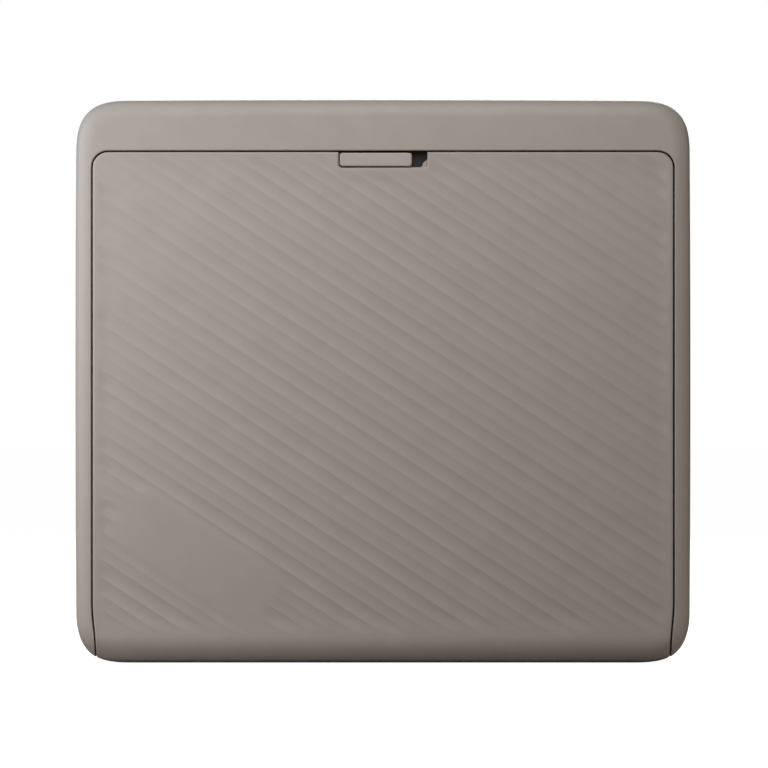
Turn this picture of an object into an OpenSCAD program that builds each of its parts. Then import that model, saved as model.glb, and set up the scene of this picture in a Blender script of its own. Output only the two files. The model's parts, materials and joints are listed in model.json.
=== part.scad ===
// Compact photo printer for wide instant film.
// Sizes are in millimetres. X runs to the right, Y to the back and Z up.
// The origin lies under the middle of the printer, on the surface it stands on.
// The film door is the front face: it turns on two pins at the bottom edge.

/* [Casing] */
// Width of the casing
body_w = 139; // [124:0.5:170]
// Height of the casing
body_h = 127.5; // [106:0.5:155]
// Reach of the rounded corners, seen from the front
corner_reach = 12.5; // [10:0.5:15]
// Squareness of the corners, 2 being a true circle
corner_power = 2.8; // [2.2:0.1:3.6]
// Bow of the sides and the top, highest in the middle
crown = 0.25; // [0:0.05:0.4]
// Wall thickness of both casings
wall = 2; // [1.6:0.1:2.4]
// Rounding between the front face and the sides
front_round = 2; // [0.8:0.1:2.4]
// Rounding between the back face and the sides
back_round = 4; // [2:0.5:6]

/* [Film door] */
// Width of the casing strip beside the door
side_strip = 3.65; // [3:0.05:4.4]
// Height of the casing band above the door
top_band = 11.5; // [9.5:0.5:13.5]
// Gap between the door and the casing
door_gap = 0.35; // [0.25:0.05:0.6]
// Radius of the door's top corners
door_corner = 3.5; // [1:0.5:6]
// How far the door's sides draw in towards the bottom
draw_in = 0.65; // [0:0.05:0.65]
// Height at which the door's sides start to draw in
draw_from = 14; // [12:0.5:20]
// Thickness of the door's skin
door_skin = 1.9; // [1.6:0.1:2]
// Thickness of the black liner behind the skin
liner_skin = 0.6; // [0.5:0.1:0.8]
// Outer radius of the lip that wraps round the bottom edge
lip_r = 6; // [5.4:0.1:6.6]
// Turn of the lip beyond its lowest point, in degrees
lip_turn = 22; // [18:1:26]
// Height of the lip above the standing surface
lip_lift = 0.2; // [0.2:0.1:0.5]

/* [Flutes] */
// Fall of the flutes towards the right, in degrees
flute_fall = 33; // [20:1:45]
// Widths of the four flutes that repeat across the door
flute_widths = [3.29, 2.73, 2.54, 3.43]; // [2:0.01:5]
// Depth of the widest flute
flute_depth = 0.15; // [0.08:0.01:0.3]
// Distance from the door's edges to the flutes
flute_margin = 1.6; // [0.5:0.1:4]
// Width of the zone in which the flutes fade out
flute_fade = 2.6; // [1:0.1:5]
// Length of the smooth patch at the lower left
patch_l = 38; // [20:1:50]
// Height of the smooth patch
patch_h = 12; // [6:1:18]

/* [Door latch] */
// Width of the window in the door's top edge
window_w = 20.1; // [18:0.1:26]
// Depth of the window below the door's top edge
window_h = 3.55; // [3:0.05:5]
// Width of the thumb piece
thumb_w = 16.3; // [12:0.1:16.5]
// Travel of the latch to the right
latch_travel = 3.3; // [2.6:0.1:3.4]
// Distance of each hook from the middle
hook_x = 24; // [18:1:28]

/* [Film chamber] */
// Depth of the space for the film pack, from the bezel's front to the chamber's back wall
pack_d = 20.4; // [20:0.1:26]
// Wall thickness of the chamber
chamber_wall = 1.2; // [1:0.1:1.4]
// Space between the chamber and the casing's side wall
side_bay = 6.55; // [6.5:0.05:9]
// Height above the chamber that holds the rollers
top_bay = 20.3; // [20:0.1:24]
// Depth behind the chamber that holds board and battery
rear_bay = 7.25; // [7:0.05:9]
// Distance of the film's path from the chamber's back wall
film_inset = 2.4; // [2.2:0.1:2.8]
// Width of the slot that the print leaves by
print_slot_w = 112; // [100:1:114]
// Opening of the slot from front to back
print_slot_d = 5.2; // [4.6:0.1:5.6]

/* [Rollers and gears] */
// Drop of the roller axes below the casing's top
roller_drop = 10; // [9.8:0.1:10.4]
// Module of every gear
gear_module = 0.5; // [0.5:0.1:0.5]
// Play between meshing teeth, along the pitch circle
gear_play = 0.12; // [0.08:0.01:0.16]
// Width of each gear
gear_w = 1.8; // [1.4:0.1:1.9]
// Teeth of the two gears that couple the rollers
nip_teeth = 16; // [16:1:16]
// Teeth of the gear that drives the rollers
drive_teeth = 22; // [20:1:22]
// Teeth of the transfer gear and the clutch gear
idler_teeth = 24; // [22:1:24]
// Teeth of the large step of the compound gear
compound_teeth = 30; // [28:1:30]
// Teeth of the small step of the compound gear
step_teeth = 12; // [12:1:12]
// Teeth of the motor's pinion
motor_teeth = 10; // [10:1:10]
// Diameter of the motor
motor_d = 10; // [8:0.5:10]
// Length of the motor
motor_l = 22; // [16:1:30]
// Radius of the gears' fixed shafts
stub_r = 1; // [0.8:0.1:1.2]
// Running clearance of shafts in their bores
run_fit = 0.05; // [0.02:0.01:0.08]
// Clearance of pieces that are pushed together
push_fit = 0.02; // [0.01:0.01:0.04]

/* [Film claw] */
// Teeth of the claw's pinion
claw_teeth = 18; // [16:1:18]
// Travel of the claw
claw_travel = 9; // [7:0.5:9]

/* [Button and ports] */
// Distance of the power button below the top
button_drop = 39.5; // [38:0.5:46]
// Length of the power button
button_l = 13; // [10:0.5:15]
// Width of the power button
button_w = 5; // [4:0.5:6]
// Travel of the power button
button_travel = 0.5; // [0.3:0.05:0.55]
// Number of lights that count the films left
light_count = 10; // [8:1:10]
// Spacing of the counter lights
light_pitch = 2.4; // [2:0.1:2.6]
// Height of the charging socket above the base
usb_z = 46; // [44:1:60]
// Width of the charging socket
usb_w = 7.6; // [7:0.1:8]
// Height of the charging socket's mouth
usb_h = 2.6; // [2.4:0.1:2.8]

/* [Hidden] */
$fn = 48;
overcut = 1;
flat_trim = 0.02;

// Gap between the liner of the shut door and the bezel, which the foam frame fills.
seal_gap = 0.35;

// The casing, from its middle. Its depth adds up from the door to the back wall.
body_d = door_skin + liner_skin + seal_gap + pack_d + chamber_wall + rear_bay + wall;
half_w = body_w / 2;
front_y = -body_d / 2;
back_y = body_d / 2;
inner_x = half_w - wall;
inner_top = body_h - wall;
inner_front = front_y + wall;
inner_back = back_y - wall;

// The door and its hinge axis, which runs along X.
door_half = half_w - side_strip - door_gap;
hole_half = half_w - side_strip;
hole_top = body_h - top_band;
door_top = hole_top - door_gap;
door_inner = front_y + door_skin;
liner_inner = door_inner + liner_skin;
hinge_y = front_y + lip_r;
hinge_z = lip_r + lip_lift;
hinge_pin_r = 1;
knuckle_r = 2.4;
cheek_r = 3.4;
lip_clear = 0.25;
draw_to = 4;
seam_edge = 0.6;
base_front = hinge_y + sqrt(pow(lip_r + lip_clear, 2) - pow(hinge_z - seam_edge, 2));

// The chamber that holds the film pack, the bezel in front of it and the film's path behind.
bezel_skin = 0.8;
bezel_front = liner_inner + seal_gap;
chamber_front = bezel_front + bezel_skin;
chamber_out_x = inner_x - side_bay;
chamber_x = chamber_out_x - chamber_wall;
chamber_out_back = inner_back - rear_bay;
chamber_back = chamber_out_back - chamber_wall;
lip_room = 0.75;
chamber_out_floor = hinge_z + lip_r * sin(lip_turn) + lip_room;
chamber_floor = chamber_out_floor + chamber_wall;
cheek_high = chamber_out_floor - 0.1;
chamber_out_top = body_h - top_bay;
chamber_top = chamber_out_top - chamber_wall;
film_y = chamber_back - film_inset;
parting_y = film_y;

// The latch, whose bar slides along the door behind its skin.
bar_skin = 0.5;
bar_front = door_inner + 0.1;
bar_back = bar_front + bar_skin;
bar_low = door_top - window_h - 3.1;
bar_high = bar_low + 3;
bar_half = 50;
hook_w = 2.4;
hook_reach = 3;
hook_gap = 0.2;
plate_half = window_w / 2 + 3;
strap_xs = [-42, -hook_x - 8, (plate_half + latch_travel + hook_x + hook_reach) / 2, 42];

// Gear train: places are [y, z] pairs on the right side, in two layers along X.
plate_skin = 1;
plate_x = chamber_out_x;
layer_gap = 0.3;
layer_a = plate_x + plate_skin + 0.65;
layer_b = layer_a + gear_w + layer_gap;
stub_long = layer_b + gear_w + 0.1 - plate_x;
stub_short = layer_a + gear_w + 0.15 - plate_x;
function pitch_r(teeth) = gear_module * teeth / 2;
function polar(r, a) = [r * cos(a), r * sin(a)];
function angle_to(p, q) = atan2(q[1] - p[1], q[0] - p[0]);
nip_r = pitch_r(nip_teeth);
roller_r = nip_r - 0.05;
roller_z = body_h - roller_drop;
roller_half = chamber_x - 4;
journal_r = 1.5;
bush_r = 2.4;
bush_flange_r = 3;
drive_at = [film_y + nip_r, roller_z];
press_at = [film_y - nip_r, roller_z];
motor_at = [film_y - 12.1, roller_z - 4.6];
compound_at = motor_at + polar(pitch_r(motor_teeth + compound_teeth), -72);
transfer_at = third_corner(compound_at, pitch_r(step_teeth + idler_teeth),
                           drive_at, pitch_r(idler_teeth + drive_teeth));
clutch_at = transfer_at + polar(pitch_r(2 * idler_teeth), -74);

// The corner of a triangle on p and q that lies r from p and s from q, on the lower right.
function third_corner(p, r, q, s) =
    let (
        span = norm(q - p),
        along = (r * r - s * s + span * span) / (2 * span),
        off = sqrt(r * r - along * along),
        way = (q - p) / span
    )
    p + along * way + off * [way[1], -way[0]];

// Teeth turned so that gear c meshes with gear b, seen in the direction beta from b to c.
function mesh_phase(teeth_b, phase_b, teeth_c, beta) =
    let (
        pitch_b = 360 / teeth_b,
        turn = (beta - phase_b) / pitch_b,
        part = turn - floor(turn)
    )
    beta + 180 + (part + 0.5) * 360 / teeth_c;
drive_phase = 0;
transfer_phase = mesh_phase(drive_teeth, drive_phase, idler_teeth, angle_to(drive_at, transfer_at));
step_phase = mesh_phase(idler_teeth, transfer_phase, step_teeth, angle_to(transfer_at, compound_at));
clutch_phase = mesh_phase(idler_teeth, transfer_phase, idler_teeth, angle_to(transfer_at, clutch_at));
motor_phase = mesh_phase(compound_teeth, 0, motor_teeth, angle_to(compound_at, motor_at));
press_phase = mesh_phase(nip_teeth, 0, nip_teeth, 180);

// The claw, which runs up the right side and pushes the film through a slot in the back wall.
rack_line = clutch_at[0] + pitch_r(claw_teeth);
rack_pitch = PI * gear_module;
bar_clear = 0.15;
claw_bar_front = rack_line + 1.3 * gear_module;
claw_bar_d = 1.9;
claw_z = chamber_floor + 2.5;
claw_bar_top = clutch_at[1] + 6.5;
claw_x = chamber_x - 5;
claw_w = 3;
claw_tip = chamber_back - 0.9;
guide_h = 4;
guide_zs = [claw_z + 27, clutch_at[1] - pitch_r(idler_teeth) - 17.5];
claw_tab_z = guide_zs[1] - claw_travel - 2;

// Boards, battery and ports.
board_y = chamber_out_back + 1.8;
board_skin = 1;
board_left = -45;
board_right = -2;
board_low = 30;
board_high = chamber_out_top - 7.2;
battery_left = 3;
battery_right = 45;
battery_low = 36;
battery_high = chamber_out_top - 15;
battery_d = 5.4;
side_gap = 2.3;
side_board_x = inner_x - side_gap;
side_board_skin = 0.8;
button_z = body_h - button_drop;
button_y = parting_y - 6;
lights_low = button_z - button_l / 2 - 4 - (light_count - 1) * light_pitch;
usb_y = parting_y - 6.2;
reset_z = usb_z - usb_w / 2 - 3.4;
reset_y = usb_y + 0.9;
reset_travel = 0.25;

// Screws.
screw_r = 0.95;
screw_head_r = 1.9;
screw_head = 1.1;
base_screw_x = 45;
base_screw_ys = [parting_y - 5.5, parting_y + 2.8];
chamber_screw_x = 51;
chamber_screw_zs = [32, chamber_out_top - 11];
pad_r = 3.2;
pad_h = 1.4;

// ---- Shared shapes ----

// One quarter of the corner curve, from [reach_x, 0] to [0, reach_z], measured inwards.
function corner_curve(reach_x, reach_z, steps) = [
    for (i = [0 : steps])
        let (a = 90 * i / steps)
        [reach_x * (1 - pow(cos(a), 2 / corner_power)), reach_z * (1 - pow(sin(a), 2 / corner_power))]
];

// The casing's outline as [x, z] points, with its sides and ends moved inwards.
function outline(side_in, low_in, high_in, steps = 8) =
    let (
        w = half_w - side_in,
        rx = corner_reach - side_in,
        low = corner_curve(rx, max(corner_reach - low_in, 4), steps),
        high = corner_curve(rx, corner_reach - high_in, steps),
        top = body_h - high_in
    )
    concat(
        [for (i = [0 : steps]) [w - low[i][0], low_in + low[i][1]]],
        [for (i = [steps : -1 : 0]) [-w + low[i][0], low_in + low[i][1]]],
        [for (i = [0 : steps]) [-w + high[i][0], top - high[i][1]]],
        [for (i = [steps : -1 : 0]) [w - high[i][0], top - high[i][1]]]
    );

// The same outline for the outside, with points along its sides and its top that follow the bow.
function bowed_outline(side_in, low_in, high_in) =
    let (
        steps = 14,
        plain = outline(side_in, low_in, high_in, steps),
        corner = steps + 1,
        part = [0.2, 0.4, 0.6, 0.8],
        along = function (a, b) [for (t = part) a + (b - a) * t]
    )
    [
        for (p = concat(
            [for (i = [0 : 2 * corner - 1]) plain[i]],
            along(plain[2 * corner - 1], plain[2 * corner]),
            [for (i = [2 * corner : 3 * corner - 1]) plain[i]],
            along(plain[3 * corner - 1], plain[3 * corner]),
            [for (i = [3 * corner : 4 * corner - 1]) plain[i]],
            along(plain[4 * corner - 1], plain[0])
        ))
            let (
                up = 2 * p[1] / body_h - 1,
                out = p[0] / half_w
            )
            [p[0] - crown * up * up * out, p[1] - crown * out * out * max(up, 0)]
    ];

// How far a rounding of radius r stands back at a distance d from the face.
function stand_back(r, d) = d >= r ? 0 : r - sqrt(r * r - pow(r - d, 2));

// A closed solid through rings of [x, z] points, each at its own y.
module loft(ys, rings) {
    count = len(rings[0]);
    last = len(rings) - 1;
    points = [for (k = [0 : last]) for (p = rings[k]) [p[0], ys[k], p[1]]];
    skin = [
        for (k = [0 : last - 1])
            for (i = [0 : count - 1])
                let (
                    j = (i + 1) % count,
                    a = k * count + i,
                    b = k * count + j
                )
                each [[a, b + count, b], [a, a + count, b + count]]
    ];
    near_end = [[for (i = [0 : count - 1]) i]];
    far_end = [[for (i = [count - 1 : -1 : 0]) last * count + i]];
    polyhedron(points, concat(near_end, skin, far_end), convexity = 6);
}

// A plate that lies across Y, drawn as [x, z] points, from y0 to y1.
module across_y(y0, y1) {
    translate([0, y1, 0])
        rotate([90, 0, 0])
            linear_extrude(y1 - y0)
                children();
}

// A bar that runs along X, drawn as [y, z] points, from x0 to x1.
module along_x(x0, x1) {
    translate([x0, 0, 0])
        rotate([90, 0, 90])
            linear_extrude(x1 - x0)
                children();
}

// A box between two corners.
module block(low, high) {
    translate(low)
        cube(high - low);
}

// A round bar along X, from x0 to x1, at a [y, z] place.
module rod_x(x0, x1, at, r) {
    translate([x0, at[0], at[1]])
        rotate([0, 90, 0])
            cylinder(h = x1 - x0, r = r);
}

// A round bar along Y, from y0 to y1, at an [x, z] place.
module rod_y(y0, y1, at, r) {
    translate([at[0], y1, at[1]])
        rotate([90, 0, 0])
            cylinder(h = y1 - y0, r = r);
}

module both_sides() {
    children();
    mirror([1, 0, 0])
        children();
}

module rounded_rect(w, h, r) {
    for (x = [-1, 1])
        for (y = [-1, 1])
            translate([x * (w / 2 - r), y * (h / 2 - r)])
                circle(r);
    square([w - 2 * r, h], center = true);
    square([w, h - 2 * r], center = true);
}

// A spur gear flank: half the angle of a tooth at radius r, for a 20 degree involute.
function involute(a) = tan(a) * 180 / PI - a;
function half_tooth(teeth, r) =
    let (
        pr = pitch_r(teeth),
        base = pr * cos(20),
        at = max(r, base),
        play = gear_play / 4 / pr * 180 / PI,
        undercut = r < base ? 0.8 : 1
    )
    (90 / teeth - play + involute(20) - involute(acos(base / at))) * undercut;

function gear_outline(teeth, phase) =
    let (
        pr = pitch_r(teeth),
        root = pr - 1.25 * gear_module,
        tip = pr + 0.9 * gear_module,
        radii = [root, pr * cos(20), pr, (pr + tip) / 2, tip],
        last = len(radii) - 1
    )
    [
        for (k = [0 : teeth - 1])
            let (mid = phase + 360 * k / teeth)
            each concat(
                [for (i = [0 : last]) polar(radii[i], mid - half_tooth(teeth, radii[i]))],
                [for (i = [last : -1 : 0]) polar(radii[i], mid + half_tooth(teeth, radii[i]))]
            )
    ];

// A spur gear on an axis along X.
module spur_gear(teeth, x0, width, at, bore_r, phase) {
    difference() {
        translate([0, at[0], at[1]])
            along_x(x0, x0 + width)
                polygon(gear_outline(teeth, phase));
        rod_x(x0 - overcut, x0 + width + overcut, at, bore_r);
    }
}

// A coil spring along Z with flat-lying end turns, as one unbroken wire.
module coil(coil_r, wire_r, turns, length) {
    sides = 6;
    steps = 9;
    last = round(turns * steps);
    rise = length - 2 * wire_r;
    rings = [
        for (k = [0 : last])
            let (
                a = 360 * k / steps,
                z = wire_r + rise * k / last
            )
            [
                for (i = [0 : sides - 1])
                    let (
                        b = 360 * i / sides,
                        r = coil_r + wire_r * cos(b)
                    )
                    [r * cos(a), r * sin(a), z + wire_r * sin(b)]
            ]
    ];
    skin = [
        for (k = [0 : last - 1])
            for (i = [0 : sides - 1])
                let (
                    j = (i + 1) % sides,
                    a = k * sides + i,
                    b = k * sides + j
                )
                each [[a, b, b + sides], [a, b + sides, a + sides]]
    ];
    near_end = [[for (i = [sides - 1 : -1 : 0]) i]];
    far_end = [[for (i = [0 : sides - 1]) last * sides + i]];
    polyhedron([for (ring = rings) each ring], concat(near_end, skin, far_end), convexity = 8);
}

// A round wire through a list of points, with the ring of each point square to its path.
module wire(path, r) {
    sides = 8;
    last = len(path) - 1;
    ways = [
        for (k = [0 : last])
            let (way = path[min(k + 1, last)] - path[max(k - 1, 0)])
            way / norm(way)
    ];
    rings = [
        for (k = [0 : last])
            let (
                out = [0, 1, 0],
                over = cross(ways[k], out)
            )
            [for (i = [0 : sides - 1]) path[k] + r * (cos(45 * i) * out + sin(45 * i) * over)]
    ];
    skin = [
        for (k = [0 : last - 1])
            for (i = [0 : sides - 1])
                let (
                    j = (i + 1) % sides,
                    a = k * sides + i,
                    b = k * sides + j
                )
                each [[a, b + sides, b], [a, a + sides, b + sides]]
    ];
    near_end = [[for (i = [0 : sides - 1]) i]];
    far_end = [[for (i = [sides - 1 : -1 : 0]) last * sides + i]];
    polyhedron([for (ring = rings) each ring], concat(near_end, skin, far_end), convexity = 6);
}

// A pan-head screw along +Z, its head's flat top at z = 0 and its shank above it.
module screw(shank, r = screw_r, head_r = screw_head_r, head = screw_head) {
    difference() {
        union() {
            cylinder(h = head, r = head_r);
            cylinder(h = head + shank, r = r);
        }
        for (a = [0, 90])
            rotate([0, 0, a])
                translate([0, 0, head / 4])
                    cube([head_r * 1.2, head_r * 0.3, head / 2 + 0.01], center = true);
    }
}

// ---- Casings ----

// The front of the casing: small edges all round, and a large one along the bottom.
module front_form() {
    depths = concat(
        [for (a = [0 : 22.5 : 90]) front_round * (1 - cos(a))],
        [for (a = [60, 75, 90]) hinge_z * (1 - cos(a))],
        [parting_y - front_y]
    );
    loft(
        [for (d = depths) front_y + d],
        [
            for (d = depths)
                let (edge = stand_back(front_round, d))
                bowed_outline(edge, stand_back(hinge_z, d) - flat_trim, edge)
        ]
    );
}

// The back of the casing, with one rounding all round.
module rear_form() {
    depths = [for (a = [0 : 15 : 90]) back_round * sin(a)];
    edges = [for (a = [0 : 15 : 90]) back_round * (1 - cos(a))];
    start = back_y - back_round;
    loft(
        concat([parting_y], [for (d = depths) start + d + (d == back_round ? flat_trim : 0)]),
        concat([bowed_outline(0, -flat_trim, 0)], [for (e = edges) bowed_outline(e, e - flat_trim, e)])
    );
}

module cavity(y0, y1) {
    across_y(y0, y1)
        polygon(outline(wall, wall, wall));
}

// Everything outside the flat base and the flat back, to trim them true.
module below_base() {
    block([-half_w - overcut, front_y - overcut, -3], [half_w + overcut, back_y + overcut, 0]);
}

module behind_back() {
    block([-half_w, back_y, -overcut], [half_w, back_y + 3, body_h + overcut]);
}

// How far the door's side has drawn in at height z.
function drawn_in(z) =
    let (t = min(max((draw_from - z) / (draw_from - draw_to), 0), 1))
    draw_in * t * t * (3 - 2 * t);

// Front opening that the door fills, with rounded top corners and drawn-in lower ends.
module door_hole(half, top, r, y0, y1) {
    low = concat([-overcut], [for (i = [0 : 8]) draw_to + (draw_from - draw_to) * i / 8]);
    across_y(y0, y1) {
        polygon(concat(
            [for (z = low) [half - drawn_in(z), z]],
            [[half, top - r], [-half, top - r]],
            [for (i = [len(low) - 1 : -1 : 0]) [-half + drawn_in(low[i]), low[i]]]
        ));
        translate([-half + r, 0])
            square([2 * (half - r), top]);
        for (side = [-1, 1])
            translate([side * (half - r), top - r])
                circle(r);
    }
}

module print_slot_cut() {
    block(
        [-print_slot_w / 2, film_y - print_slot_d / 2, inner_top - overcut],
        [print_slot_w / 2, film_y + print_slot_d / 2, body_h + overcut]
    );
}

// The two stiffening ribs on each side wall, which stop short of the bays' parts.
module wall_ribs(y0, y1, zs) {
    both_sides()
        for (z = zs)
            block([inner_x - 0.6, y0, z], [inner_x + 0.1, y1, z + 1]);
}

module front_casing() {
    color([0.6, 0.56, 0.53])
    difference() {
        union() {
            difference() {
                front_form();
                difference() {
                    cavity(inner_front, parting_y + overcut);
                    both_sides()
                        block(
                            [hole_half - draw_in - overcut, inner_front - overcut, -overcut],
                            [half_w, hinge_y + cheek_r, cheek_high]
                        );
                }
                door_hole(
                    hole_half, hole_top, door_corner + door_gap, front_y - overcut, inner_front + 0.01
                );
            }
            // Posts for the indicator board
            for (z = [lights_low - 3, button_z + button_l / 2 + 5])
                rod_x(-inner_x - 0.1, -side_board_x, [button_y, z], 1.5);
            wall_ribs(-10, parting_y - 3, [20, 28]);
        }
        below_base();
        // Room for the door's lip, whose round back slides along the base's front edge
        intersection() {
            door_hole(hole_half, hole_top, door_corner + door_gap, front_y - overcut, base_front);
            block([-half_w, front_y - overcut, -overcut], [half_w, back_y, cheek_high]);
        }
        rod_x(-hole_half + draw_in, hole_half - draw_in, [hinge_y, hinge_z], lip_r + lip_clear);
        // Seats of the hinge pins
        both_sides()
            rod_x(hole_half - draw_in - overcut, inner_x + 0.1, [hinge_y, hinge_z], hinge_pin_r + push_fit);
        print_slot_cut();
        // Power button
        along_x(-half_w - overcut, -inner_x + overcut)
            translate([button_y, button_z])
                rounded_rect(button_w + 0.3, button_l + 0.3, button_w / 2 + 0.14);
        // Counter lights
        for (i = [0 : light_count - 1])
            rod_x(-half_w - overcut, -inner_x + overcut, [button_y, lights_low + i * light_pitch], 0.65);
        // Charging socket and reset hole
        along_x(inner_x - overcut, half_w + overcut)
            translate([usb_y + usb_h / 2, usb_z])
                rounded_rect(usb_h + 0.6, usb_w + 0.6, 1);
        rod_x(inner_x - overcut, half_w + overcut, [reset_y, reset_z], 1);
        base_screw_holes(base_screw_ys[0]);
    }
}

// Recessed holes for the two base screws at one depth.
module base_screw_holes(y) {
    both_sides()
        translate([base_screw_x, y, 0]) {
            translate([0, 0, -overcut])
                cylinder(h = overcut + screw_head + 0.1, r = screw_head_r + 0.2);
            cylinder(h = wall + overcut, r = screw_r + 0.15);
        }
}

module rear_casing() {
    lip_skin = 0.8;
    lip_h = 1.4;
    color([0.6, 0.56, 0.53])
    difference() {
        union() {
            difference() {
                rear_form();
                cavity(parting_y - overcut, inner_back);
            }
            // Bosses that the chamber is screwed to
            both_sides()
                for (z = chamber_screw_zs)
                    rod_y(chamber_out_back + pad_h, inner_back + 0.1, [chamber_screw_x, z], 2.8);
            // Inner lip that locates the front casing
            difference() {
                union() {
                    across_y(parting_y - lip_h, parting_y + lip_h)
                        polygon(outline(wall + 0.1, wall + 0.1, wall + 0.1));
                    across_y(parting_y, parting_y + lip_h)
                        polygon(outline(wall - 0.2, wall - 0.2, wall - 0.2));
                }
                across_y(parting_y - lip_h - overcut, parting_y + lip_h + overcut)
                    polygon(outline(wall + lip_skin, wall + lip_skin, wall + lip_skin));
                // Kept off the base, where the front casing's screws pass, and off the print slot
                block([-half_w, -overcut, -overcut], [half_w, back_y, corner_reach]);
                block(
                    [-print_slot_w / 2 - 2, -overcut, inner_top - 3],
                    [print_slot_w / 2 + 2, back_y, body_h]
                );
            }
        }
        below_base();
        behind_back();
        print_slot_cut();
        base_screw_holes(base_screw_ys[1]);
        both_sides()
            for (z = chamber_screw_zs)
                rod_y(chamber_out_back, inner_back - 0.6, [chamber_screw_x, z], screw_r + push_fit);
    }
}

// ---- Film chamber ----

module hinge_ear() {
    ear_r = min(knuckle_r, hinge_y - chamber_front);
    difference() {
        union() {
            rod_x(chamber_x, chamber_out_x, [hinge_y, hinge_z], ear_r);
            block([chamber_x, hinge_y - ear_r, hinge_z], [chamber_out_x, hinge_y + ear_r, chamber_floor]);
        }
        rod_x(chamber_x - overcut, chamber_out_x + overcut, [hinge_y, hinge_z], hinge_pin_r + push_fit);
    }
}

// Guides that the claw's bar slides through.
module claw_guide(z) {
    difference() {
        block(
            [chamber_out_x - 0.1, chamber_out_back - 2, z],
            [layer_b + gear_w + 0.6, claw_bar_front + claw_bar_d + 0.9, z + guide_h]
        );
        block(
            [layer_b - bar_clear, claw_bar_front - bar_clear, z - overcut],
            [layer_b + gear_w + bar_clear, claw_bar_front + claw_bar_d + bar_clear, z + guide_h + overcut]
        );
    }
}

module film_chamber() {
    color([0.13, 0.13, 0.14])
    difference() {
        union() {
            block(
                [-chamber_out_x, chamber_front, chamber_out_floor],
                [chamber_out_x, chamber_out_back, chamber_out_top]
            );
            both_sides()
                hinge_ear();
            // Bosses for the base screws
            both_sides()
                for (y = base_screw_ys)
                    translate([base_screw_x, y, wall])
                        cylinder(h = chamber_floor - wall, r = 2.4);
            // Pads for the screws into the rear casing
            both_sides()
                for (z = chamber_screw_zs)
                    rod_y(chamber_back + 0.1, chamber_out_back + pad_h, [chamber_screw_x, z], pad_r);
            // Posts for the main board
            for (p = board_corners())
                rod_y(chamber_back + 0.1, board_y, p, 1.8);
            // Ribs across the back wall
            for (z = [24, chamber_out_top - 4])
                block([-46, chamber_out_back - 0.1, z], [46, chamber_out_back + 1.2, z + 1]);
            for (z = guide_zs)
                claw_guide(z);
        }
        block(
            [-chamber_x, chamber_front - overcut, chamber_floor],
            [chamber_x, chamber_back, chamber_top]
        );
        // Slot that the film leaves by
        block([-print_slot_w / 2, film_y - 1, chamber_top - overcut],
              [print_slot_w / 2, film_y + 1, chamber_out_top + overcut]);
        // Slot for the claw
        block(
            [claw_x - claw_w / 2 - 0.4, chamber_back - overcut, claw_z - 0.4],
            [claw_x + claw_w / 2 + 0.4, chamber_out_back + overcut, claw_z + claw_travel + 2.4]
        );
        both_sides()
            for (y = base_screw_ys)
                translate([base_screw_x, y, 0])
                    cylinder(h = chamber_out_floor - 0.6, r = screw_r + push_fit);
        both_sides()
            for (z = chamber_screw_zs) {
                rod_y(0, chamber_back + screw_head + 0.2, [chamber_screw_x, z], screw_head_r + 0.2);
                rod_y(0, back_y, [chamber_screw_x, z], screw_r + 0.15);
            }
        for (p = board_corners())
            rod_y(chamber_out_back - 0.6, board_y + overcut, p, board_screw_r + push_fit);
        // Pilot holes for the roller plates' screws
        for (p = plate_screws_right)
            rod_x(plate_x - 0.9, plate_x + overcut, p, board_screw_r + push_fit);
        for (p = plate_screws_left)
            rod_x(-plate_x - overcut, -plate_x + 0.9, p, board_screw_r + push_fit);
    }
}

// The flat frame round the chamber's mouth. The latch hooks behind its top edge.
module chamber_bezel() {
    high = hole_top + 1;
    color([0.1, 0.1, 0.11])
    difference() {
        block([-hole_half + 0.1, bezel_front, chamber_out_floor], [hole_half - 0.1, chamber_front, high]);
        block(
            [-chamber_x, bezel_front - overcut, chamber_floor],
            [chamber_x, chamber_front + overcut, chamber_top]
        );
        for (x = [-hook_x, hook_x] + [hook_reach, hook_reach])
            block(
                [x - 0.3, bezel_front - overcut, bar_low - hook_gap],
                [x + hook_w + latch_travel + hook_gap, chamber_front + overcut, bar_high + hook_gap]
            );
    }
}

// Foam frame that the closed door presses on.
module door_light_seal() {
    seal_w = 2;
    inset = 0.5;
    color([0.07, 0.07, 0.07])
    difference() {
        block(
            [-chamber_x - inset - seal_w, bezel_front - seal_gap + 0.05, chamber_out_floor + 0.1],
            [chamber_x + inset + seal_w, bezel_front, chamber_top + inset + seal_w - 0.7]
        );
        block(
            [-chamber_x - inset, bezel_front - overcut, chamber_floor],
            [chamber_x + inset, bezel_front + overcut, chamber_top + inset]
        );
    }
}

module hinge_pins() {
    color([0.75, 0.76, 0.78])
    both_sides()
        rod_x(chamber_x, inner_x, [hinge_y, hinge_z], hinge_pin_r);
}

// ---- Film door ----

function arc(at, r, a0, a1, steps) = [
    for (i = [0 : steps])
        at + polar(r, a0 + (a1 - a0) * i / steps)
];

// Section of the door's skin: flat above the hinge, then round it and under the base.
module door_section() {
    axis = [hinge_y, hinge_z];
    end = 270 + lip_turn;
    polygon(concat(
        [[front_y, door_top]],
        arc(axis, lip_r, 180, end, 14),
        arc(axis, lip_r - door_skin, end, 180, 14),
        [[door_inner, door_top]]
    ));
}

// Crest places of the flutes on one side of the pattern's start.
function flute_sum(n) = n <= 0 ? 0 : flute_widths[n - 1] + flute_sum(n - 1);
flute_period = flute_sum(4);
// Place of one deep flute's edge, measured across the flutes from the middle of the printer
flute_start = -0.37;

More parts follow.
